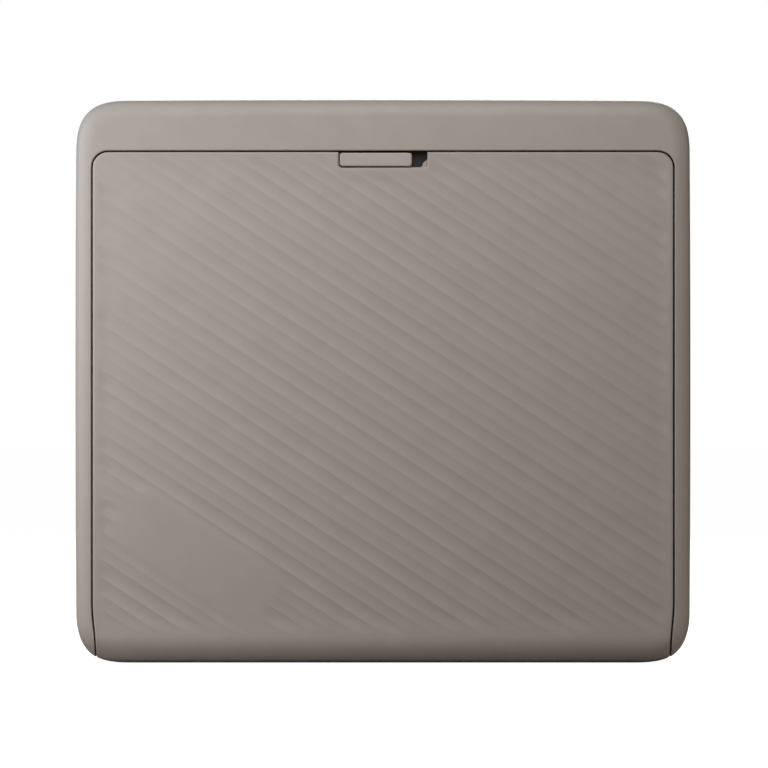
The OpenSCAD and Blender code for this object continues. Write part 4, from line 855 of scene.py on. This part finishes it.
def flute_tree():
    """Flutes pressed into a face by a rule: bowls of four widths that repeat, deeper where wider.

    Each step of the rule is its result's name, an operation and its terms."""
    widths = [f"Width {n + 1}" for n in range(len(FLUTES))]
    tree, source = start_tree("flute_press", Geometry=["Geometry"], Float=[
        "Fall", "Middle Height", "First Crest", "Deepest", *widths])
    place = add(tree, "GeometryNodeInputPosition").outputs[0]
    place = add(tree, "ShaderNodeSeparateXYZ", {0: place}).outputs
    strength = add(tree, "GeometryNodeInputNamedAttribute", {"Name": "flute_strength"},
                   data_type="FLOAT").outputs["Attribute"]
    rule = [
        ("sine", "SINE", "Fall"), ("sine", "MULTIPLY", "x", "sine"),
        ("up", "SUBTRACT", "z", "Middle Height"),
        ("cosine", "COSINE", "Fall"), ("cosine", "MULTIPLY", "up", "cosine"),
        ("across", "ADD", "sine", "cosine"),
        ("pair", "ADD", *widths[:2]), ("period", "ADD", *widths[2:]),
        ("period", "ADD", "pair", "period"),
        ("pair", "MAXIMUM", *widths[:2]), ("widest", "MAXIMUM", *widths[2:]),
        ("widest", "MAXIMUM", "pair", "widest"),
        ("left", "MULTIPLY", "across", -1.0), ("left", "SUBTRACT", "left", "First Crest"),
        ("left", "FLOORED_MODULO", "left", "period"),
    ]
    for width in widths:
        rule += [
            ("part", "DIVIDE", "left", width), ("part", "MULTIPLY", "part", 2.0),
            ("part", "SUBTRACT", "part", 1.0), ("bowl", "MULTIPLY", "part", "part"),
            ("bowl", "SUBTRACT", 1.0, "bowl"), ("bowl", "MAXIMUM", "bowl", 0.0),
            ("share", "DIVIDE", width, "widest"), ("share", "POWER", "share", 3.5),
            ("bowl", "MULTIPLY", "bowl", "share"), ("depth", "ADD", "depth", "bowl"),
            ("left", "SUBTRACT", "left", width),
        ]
    rule += [("depth", "MULTIPLY", "depth", "Deepest"), ("depth", "MULTIPLY", "depth", "strength")]
    known = {socket.name: socket for socket in source}
    known.update(x=place["X"], z=place["Z"], strength=strength, depth=0.0)
    for result, operation, *terms in rule:
        terms = [known.get(term, term) for term in terms]
        known[result] = add(tree, "ShaderNodeMath", enumerate(terms),
                            operation=operation).outputs[0]
    offset = add(tree, "ShaderNodeCombineXYZ", {"Y": known["depth"]})
    moved = add(tree, "GeometryNodeSetPosition", {
        "Geometry": source["Geometry"], "Offset": offset.outputs[0]})
    return end_tree(tree, source, moved.outputs[0])


def corner_lift(x):
    """How far the casing's lower corner has risen at a place across."""
    out = max(abs(x) - HALF_W + CORNER_REACH, 0) / CORNER_REACH
    return CORNER_REACH * (1 - (1 - out ** CORNER_POWER) ** (1 / CORNER_POWER))


def make_fluted_door():
    """The door: a fluted face that rounds the bottom edge and ends under the printer, with
    knuckles on its pins."""
    points, faces = door_sheet()
    strength = []
    bent = []
    for x, depth, s in points:
        strength.append(float(flute_strength(x, s)) if depth == 0 else 0.0)
        if s >= HINGE_Z:
            y, z = FRONT_Y + depth, s
        else:
            turn, radius = (HINGE_Z - s) / LIP_R, LIP_R - depth
            y, z = HINGE_Y - radius * math.cos(turn), HINGE_Z - radius * math.sin(turn)
        # The sides draw in, and the ends of the lip rise with the casing's lower corners.
        x -= math.copysign(float(rise(abs(x) - DOOR_HALF + 12, 12)) * drawn_in(z), x)
        z += corner_lift(x) * float(rise(9 - z, 7.5)) * (1 - depth / DOOR_SKIN)
        bent.append((x, y, z))
    door = mesh("fluted_door", bent, faces)
    mark = door.data.attributes.new("flute_strength", "FLOAT", "POINT")
    mark.data.foreach_set("value", strength)
    lengths = {"Middle Height": BODY_H / 2, "First Crest": FLUTE_START, "Deepest": FLUTE_DEPTH}
    lengths.update({f"Width {n + 1}": width for n, width in enumerate(FLUTES)})
    grown(door, flute_tree(), "casing_plastic", lengths, Fall=FALL)
    door.data.attributes.remove(door.data.attributes["flute_strength"])

    knuckles = []
    for a, b in both_sides(KNUCKLE_NEAR, KNUCKLE_FAR):
        knuckles.append(rod(along_x, (HINGE_Y, HINGE_Z), KNUCKLE_R, a, b))
        knuckles.append(block((a, KNUCKLE_FRONT, HINGE_Z - KNUCKLE_R),
                              (b, HINGE_Y, HINGE_Z + KNUCKLE_R)))
    carve(door, knuckles, "UNION")
    carve(door, [
        rod(along_x, (HINGE_Y, HINGE_Z), 1.05, -66, 66),
        edged_rect((0, WINDOW_LOW + 5), 2 * WINDOW_HALF, 10, 0.8, across_y,
                   FRONT_Y, FRONT_Y + DOOR_SKIN + 1, HOLE_EDGE),
    ])
    return fit(door, "film_door")


def make_latch():
    """The latch: a smooth thumb piece with rounded edges, on a flat bar with two hooks.

    The plate behind the thumb piece has an opening to its right, through which the black parts
    behind
    it show: painted shade for the recess beside the thumb piece. Hair gaps of a few thousandths
    keep faces that would touch out of one plane."""
    latch = edged_rect(THUMB_AT, THUMB_W, THUMB_H, 0.7, across_y, FRONT_Y + 0.2, BAR_BACK, -0.32,
                       name="latch_thumb")
    parts = [block((-11.75, BAR_FRONT, BAR_LOW), (13.05, BAR_BACK - 0.001, 115.5)),
             block((-50, BAR_FRONT + 0.001, BAR_LOW - 0.001), (50, BAR_BACK, BAR_HIGH))]
    for x in (-24, 24):
        parts.append(block((x + 3, BAR_FRONT + 0.002, BAR_LOW + 0.002),
                           (x + 5.4, -11.9, BAR_HIGH - 0.002)))
        parts.append(block((x - 0.4, -12.9, BAR_LOW + 0.004),
                           (x + 5.399, -11.901, BAR_HIGH - 0.004)))
    carve(latch, parts, "UNION")
    # The opening in the plate is painted shade: the black parts behind it show dark where the
    # recess is only in shade.
    foot = [(8.3 + 0.7 * math.sin(a), 113.0 - 0.7 * math.cos(a))
            for a in np.radians(range(0, 90, 15))]
    flare = [(9.0 + 1.25 * float(rise(t, 1)), 113.0 + 1.5 * t) for t in np.linspace(0, 1, 9)]
    shade_opening = [(6.45, 112.3)] + foot + flare + [(10.25, 115.9), (6.45, 115.9)]
    carve(latch, [prism(shade_opening, across_y, BAR_FRONT - 1, BAR_BACK + 0.1)])
    return fit(latch, "latch_slider")


# ---- Button, lights, foam, springs, leads and screws ----

def make_power_cap():
    """The power button: an oblong cap with a soft edge, on a flange inside the wall."""
    at, back = (BUTTON_Y, BUTTON_Z), -67.4
    cap = edged_rect(at, BUTTON_W, BUTTON_L, 2.49, along_x, -HALF_W + 0.1, back, -0.45,
                     name="power_cap", steps=7)
    flange = rounded_rect(at, BUTTON_W + 1.6, BUTTON_L + 1.6, 3.29)
    carve(cap, [prism(flange, along_x, back, -66.8)], "UNION")
    return fit(cap, "power_button")


def make_mouth_foam():
    """The foam round the chamber's mouth: a thin domed strip with mitred corners."""
    outer = [(-62.25, 9.298), (62.25, 9.298), (62.25, 107.8), (-62.25, 107.8)]
    inner = [(-60.25, 10.398), (60.25, 10.398), (60.25, 106.5), (-60.25, 106.5)]
    back, thick, parts, steps = -14.0, 0.3, 24, 10
    rings = []
    for k in range(4):
        for i in range(parts):
            t = i / parts
            o, n = ([here[c] + (ahead[c] - here[c]) * t for c in (0, 1)]
                    for here, ahead in ((line[k], line[(k + 1) % 4]) for line in (outer, inner)))
            ring = [(o[0], back, o[1])]
            for j in range(steps + 1):
                u = j / steps
                dome = 0.35 + 0.65 * (1 - abs(2 * u - 1) ** 4)
                ring.append((o[0] + (n[0] - o[0]) * u, back - thick * dome,
                             o[1] + (n[1] - o[1]) * u))
            ring.append((n[0], back, n[1]))
            rings.append(ring)
    count = len(rings[0])
    faces = []
    for k in range(len(rings)):
        for i in range(count):
            a, b = k * count, (k + 1) % len(rings) * count
            j = (i + 1) % count
            faces.append((a + i, b + i, b + j, a + j))
    foam = mesh("mouth_foam", [p for ring in rings for p in ring], faces)
    fit(foam, "door_light_seal", angle=50)


def make_exit_foam():
    """Two foam strips that close the print slot against light, with rounded ends and edges."""
    ends = ((-57, -0.3), (-56.9, -0.1), (-56.7, 0), (56.7, 0), (56.9, -0.1), (57, -0.3))
    foam, other = [loft("exit_foam", [
        [(x, u, v) for u, v in rounded_rect((y, 124.05), 3.8, 2.9, 0.7, shrink)]
        for x, shrink in ends]) for y in (1.5, 6.5)]
    carve(foam, [other], "UNION")
    fit(foam, "print_slot_seals", angle=50)


def coil_tree():
    """A compression spring along Z, whose end turns lie closer."""
    tree, source = start_tree("coil_spring", Float=[
        "Coil Radius", "Wire Radius", "Turns", "Length"])
    helix = add(tree, "GeometryNodeCurveSpiral", {
        "Resolution": 28, "Rotations": source["Turns"], "Height": source["Length"],
        "Start Radius": source["Coil Radius"], "End Radius": source["Coil Radius"]})
    lift = add(tree, "GeometryNodeSplineParameter").outputs["Factor"]
    for operation, term in (("MULTIPLY", 2 * math.pi), ("SINE", 0.0), ("MULTIPLY", -0.1),
                            ("MULTIPLY", source["Length"])):
        lift = add(tree, "ShaderNodeMath", {0: lift, 1: term}, operation=operation).outputs[0]
    offset = add(tree, "ShaderNodeCombineXYZ", {"Z": lift})
    wound = add(tree, "GeometryNodeSetPosition", {
        "Geometry": helix.outputs[0], "Offset": offset.outputs[0]})
    ring = add(tree, "GeometryNodeCurvePrimitiveCircle", {
        "Resolution": 10, "Radius": source["Wire Radius"]})
    wire = add(tree, "GeometryNodeCurveToMesh", {
        "Curve": wound.outputs[0], "Profile Curve": ring.outputs[0], "Fill Caps": True})
    return end_tree(tree, source, wire.outputs[0])


def place_mesh(piece, turn, at):
    """Turns a mesh about the origin and moves it, in millimetres, inside its object."""
    a, b, c = (math.radians(t) for t in turn)
    rx = np.array([[1, 0, 0], [0, math.cos(a), -math.sin(a)], [0, math.sin(a), math.cos(a)]])
    ry = np.array([[math.cos(b), 0, math.sin(b)], [0, 1, 0], [-math.sin(b), 0, math.cos(b)]])
    rz = np.array([[math.cos(c), -math.sin(c), 0], [math.sin(c), math.cos(c), 0], [0, 0, 1]])
    co = np.zeros(len(piece.data.vertices) * 3)
    piece.data.vertices.foreach_get("co", co)
    co = co.reshape(-1, 3) @ (rz @ ry @ rx).T + np.array(at) / 1000
    piece.data.vertices.foreach_set("co", co.ravel())
    piece.data.update()
    return piece


def joined(name, pieces):
    """Several meshes as one."""
    points, faces = [], []
    for piece in pieces:
        start = len(points)
        points += [tuple(c * 1000 for c in v.co) for v in piece.data.vertices]
        faces += [tuple(start + n for n in polygon.vertices) for polygon in piece.data.polygons]
        bpy.data.objects.remove(piece)
    return mesh(name, points, faces)


def make_springs():
    """The two coils that press the rollers together, and the one that draws the claw back."""
    tree = coil_tree()

    def coil(radius, wire, turns, length, turn, at):
        sizes = {"Coil Radius": radius, "Wire Radius": wire, "Length": length - 2 * wire}
        piece = grown(mesh("coil", [(0, 0, 0)], []), tree, "steel", sizes, Turns=float(turns))
        return place_mesh(place_mesh(piece, (0, 0, 0), (0, 0, wire)), turn, at)

    nips = [coil(0.9, 0.18, 6, 4.4, (90, 0, 0), (x, -3.05, 117.5)) for x in (-61.45, 61.45)]
    fit(joined("nip_coils", nips), "nip_springs", angle=60)
    foot = CLAW_SPRING_FOOT
    tip = (foot[0], foot[1], foot[2] + CLAW_SPRING_L)
    claw = joined("claw_coil", [coil(1, 0.2, 12, CLAW_SPRING_L, (0, 0, 0), foot)])
    fit(claw, "claw_spring", angle=60, ends=(("casing", foot), ("claw_slider", tip)))


def make_latch_spring():
    """The latch's return spring: a flat folded strip, built as it lies at rest. On the real latch
    it shortens as the latch slides; here it does not.
    """
    low, high = BAR_LOW + 0.2, BAR_HIGH - 0.2
    corners = [(ZIGZAG_START + 0.2, high)]
    for i in range(ZIGZAG_FOLDS):
        x = ZIGZAG_START + 0.2 + i * ZIGZAG_PITCH
        turn = low if i % 2 == 0 else high
        corners += [(x, turn), (x + ZIGZAG_PITCH, turn)]
    corners[-1] = (ZIGZAG_END, corners[-1][1])
    corners = np.array(corners)
    line = [corners[0]]
    for before, at, after in zip(corners, corners[1:], corners[2:]):
        back, ahead = ((other - at) / math.dist(at, other) for other in (before, after))
        middle = at + ZIGZAG_BEND * (back + ahead)
        line += [middle - ZIGZAG_BEND * (ahead * math.cos(a) + back * math.sin(a))
                 for a in np.radians(np.linspace(0, 90, 7))]
    line = np.array(line + [corners[-1]])
    ways = headings(line)
    side = np.stack([-ways[:, 1], ways[:, 0]], 1) * ZIGZAG_THICK / 2
    outline = [tuple(p) for p in np.vstack([line + side, (line - side)[::-1]])]
    spring = loft("latch_zigzag", [
        [across_y(x, z, y) for x, z in outline] for y in (BAR_FRONT, BAR_BACK)])
    fit(spring, "latch_spring", angle=40)
    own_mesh(spring)


def make_battery_leads():
    """Two insulated wires, twisted together from the battery to the board."""
    wire, apart, twist = 0.29, 0.3, 7
    route = np.array([
        [22, 10.6, 0], [22, 10.6, 2], [21, 10.8, 4], [18, 11, 5.4], [13, 11.2, 6], [8, 11.4, 6],
        [3, 11.6, 6], [0, 11.8, 5], [-2, 12, 3], [-3, 12, 0], [-4, 12, -2], [-5, 12, -3]], float)
    route += [0, 0, 92.2]
    knots = np.linspace(0, len(route) - 1, 90)
    line = np.stack([np.interp(knots, range(len(route)), route[:, c]) for c in range(3)], 1)
    for _ in range(3):
        line[1:-1] = (line[:-2] + 2 * line[1:-1] + line[2:]) / 4
    out = np.array([0.0, 1.0, 0.0])
    over = np.cross(headings(line), out)
    length = np.concatenate([[0], np.cumsum(np.linalg.norm(np.diff(line, axis=0), axis=1))])
    for name, start, slot in (("battery_lead_plus", 0.0, "lead_red"),
                              ("battery_lead_minus", math.pi, "black_plastic")):
        rings = []
        for k, p in enumerate(line):
            a = start + 2 * math.pi * length[k] / twist
            middle = p + apart * (math.cos(a) * out + math.sin(a) * over[k])
            rings.append([middle + wire * (math.cos(b) * out + math.sin(b) * over[k])
                          for b in np.linspace(0, 2 * math.pi, 11)[:-1]])
        fit(loft(name, rings), "battery_lead", slot=slot, angle=60)


def screw_tree():
    """Pan-head screws with a cross recess, one at each point, turned by its turn attribute.

    A head is a flared crown and a plate, and its top lies at the point. shares are the sizes
    of its parts as shares of the inputs."""
    tree, source = start_tree("pan_head_screws", Geometry=["Geometry"], Float=[
        "Head Radius", "Head Height", "Shank Radius", "Shank Length"])
    radius, height = source["Head Radius"], source["Head Height"]
    shares = {
        "crown": (radius, 0.72), "plate": (radius, 0.97),
        "arm length": (radius, 1.15), "arm width": (radius, 0.3),
        "crown height": (height, 0.3), "plate height": (height, 0.8),
        "plate middle": (height, 0.6), "shank start": (height, 0.9),
        "half shank": (source["Shank Length"], 0.5),
    }
    size = {name: add(tree, "ShaderNodeMath", {0: whole, 1: share}, operation="MULTIPLY").outputs[0]
            for name, (whole, share) in shares.items()}
    size["shank middle"] = add(tree, "ShaderNodeMath", {
        0: size["half shank"], 1: size["shank start"]}, operation="ADD").outputs[0]
    crown = add(tree, "GeometryNodeMeshCone", {
        "Vertices": 32, "Radius Top": size["crown"], "Radius Bottom": radius,
        "Depth": size["crown height"]})
    plate = add(tree, "GeometryNodeMeshCylinder", {
        "Vertices": 32, "Radius": size["plate"], "Depth": size["plate height"]})
    shank = add(tree, "GeometryNodeMeshCylinder", {
        "Vertices": 20, "Radius": source["Shank Radius"], "Depth": source["Shank Length"]})
    whole = add(tree, "GeometryNodeMeshBoolean", operation="UNION", solver="EXACT")
    for part, turn, lift in ((shank, 0, "shank middle"), (plate, 0, "plate middle"),
                             (crown, math.pi, "crown height")):
        offset = add(tree, "ShaderNodeCombineXYZ", {"Z": size[lift]})
        moved = add(tree, "GeometryNodeTransform", {
            "Geometry": part.outputs["Mesh"], "Translation": offset.outputs[0],
            "Rotation": (turn, 0, 0)})
        tree.links.new(moved.outputs[0], whole.inputs["Mesh 2"])
    cut = add(tree, "GeometryNodeMeshBoolean", {"Mesh 1": whole.outputs["Mesh"]},
              operation="DIFFERENCE", solver="EXACT")
    for x, y in (("arm length", "arm width"), ("arm width", "arm length")):
        box = add(tree, "ShaderNodeCombineXYZ", {"X": size[x], "Y": size[y], "Z": height})
        arm = add(tree, "GeometryNodeMeshCube", {"Size": box.outputs[0]})
        tree.links.new(arm.outputs["Mesh"], cut.inputs["Mesh 2"])
    # The weld closes the hair-thin edges that the cuts leave.
    welded = add(tree, "GeometryNodeMergeByDistance", {
        "Geometry": cut.outputs["Mesh"], "Distance": 2e-6})
    turn = add(tree, "GeometryNodeInputNamedAttribute", {"Name": "turn"},
               data_type="FLOAT_VECTOR")
    set_out = add(tree, "GeometryNodeInstanceOnPoints", {
        "Points": source["Geometry"], "Instance": welded.outputs[0],
        "Rotation": turn.outputs["Attribute"]})
    return end_tree(tree, source, set_out.outputs[0])


def make_screws():
    """Each set of screws: head radius and height, shank radius and length, and for each screw
    where the top of its head lies and how it is turned."""
    tree = screw_tree()
    up, back, front, left, right = (0, 0, 0), (-90, 0, 0), (90, 0, 0), (0, -90, 0), (0, 90, 0)
    sets = {
        "casing_screws": (1.9, 1.1, 0.95, 5.4, [
            ((x, y, 0.1), up) for x in BASE_SCREW_X for y in (FRONT_SCREW_Y, REAR_SCREW_Y)]),
        "chamber_screws": (1.9, 1.1, 0.95, 5.6, [((x, 6.6, z), back) for x, z in CHAMBER_SCREWS]),
        "board_screws": (1.4, 0.7, 0.7, 1.9, [
            ((x, 11.1, z), front) for x in (-42, -5) for z in (33, 97)]),
        "plate_screws": (1.5, 0.5, 0.7, 1.8, [
            ((62.45, -11.01, 94.989), left), ((62.45, -2.61, 93.189), left),
            ((-62.45, -3, 101), right), ((-62.45, 4.6, 101), right)]),
    }
    for node, (head_r, head_h, shank_r, shank_l, places) in sets.items():
        piece = mesh(node.replace("screws", "pan_screws"), [at for at, _ in places], [])
        mark = piece.data.attributes.new("turn", "FLOAT_VECTOR", "POINT")
        mark.data.foreach_set("vector", [math.radians(t) for _, turn in places for t in turn])
        grown(piece, tree, slot_of[node], {
            "Head Radius": head_r, "Head Height": head_h,
            "Shank Radius": shank_r, "Shank Length": shank_l})
        fit(piece, node)


def pip_tree():
    """Round light pips, which stand along X, in a row along Z."""
    tree, source = start_tree("light_pips", Int=["Count"], Float=["Pitch", "Radius", "Length"])
    stride = add(tree, "ShaderNodeCombineXYZ", {"Z": source["Pitch"]})
    row = add(tree, "GeometryNodeMeshLine", {
        "Count": source["Count"], "Offset": stride.outputs[0]})
    stem = add(tree, "GeometryNodeMeshCylinder", {
        "Vertices": 24, "Radius": source["Radius"], "Depth": source["Length"]})
    set_out = add(tree, "GeometryNodeInstanceOnPoints", {
        "Points": row.outputs[0], "Instance": stem.outputs["Mesh"],
        "Rotation": (0, math.pi / 2, 0)})
    return end_tree(tree, source, set_out.outputs[0])


def make_light_pips():
    """The counter's lights: ten clear pips on one bar behind the wall."""
    pips = grown(mesh("light_pips", [(0, 0, 0)], []), pip_tree(), "clear_guide",
                 {"Pitch": LIGHT_PITCH, "Radius": 0.6, "Length": 2.4}, Count=LIGHT_COUNT)
    place_mesh(pips, (0, 0, 0), (-68.3, BUTTON_Y, LIGHTS_LOW))
    high = LIGHTS_LOW + (LIGHT_COUNT - 1) * LIGHT_PITCH + 1.2
    bar = block((-67.45, BUTTON_Y - 1, LIGHTS_LOW - 1.2), (-66.65, BUTTON_Y + 1, high))
    carve(pips, [bar], "UNION")
    return fit(pips, "light_guide")


def soften(node, width):
    """A copy of a moulded or stamped node with its edges broken, which then stands for it."""
    piece = put("soft_edged_" + node, nodes[node].data.copy())
    weld = piece.modifiers.new("weld", "WELD")
    weld.merge_threshold = 1e-6
    flat = piece.modifiers.new("flat", "DECIMATE")
    flat.decimate_type, flat.angle_limit = "DISSOLVE", math.radians(0.5)
    edge = piece.modifiers.new("edge", "BEVEL")
    edge.limit_method, edge.angle_limit = "ANGLE", math.radians(40)
    edge.width, edge.segments, edge.use_clamp_overlap = width / 1000, 2, True
    piece.data = plain(piece)
    return fit(piece, node)


make_camera()
make_finishes()
make_light()
make_floor()
make_front_shell()
make_rear_shell()
make_fluted_door()
make_latch()
make_power_cap()
make_light_pips()
make_mouth_foam()
make_exit_foam()
make_springs()
make_latch_spring()
make_battery_leads()
make_screws()
soften("film_chamber", 0.2)
soften("chamber_bezel", 0.15)
soften("door_liner", 0.12)
soften("exposure_head", 0.2)
for name, node in nodes.items():
    if not node.hide_render:
        node.data.materials.clear()
        node.data.materials.append(finishes[slot_of[name]])
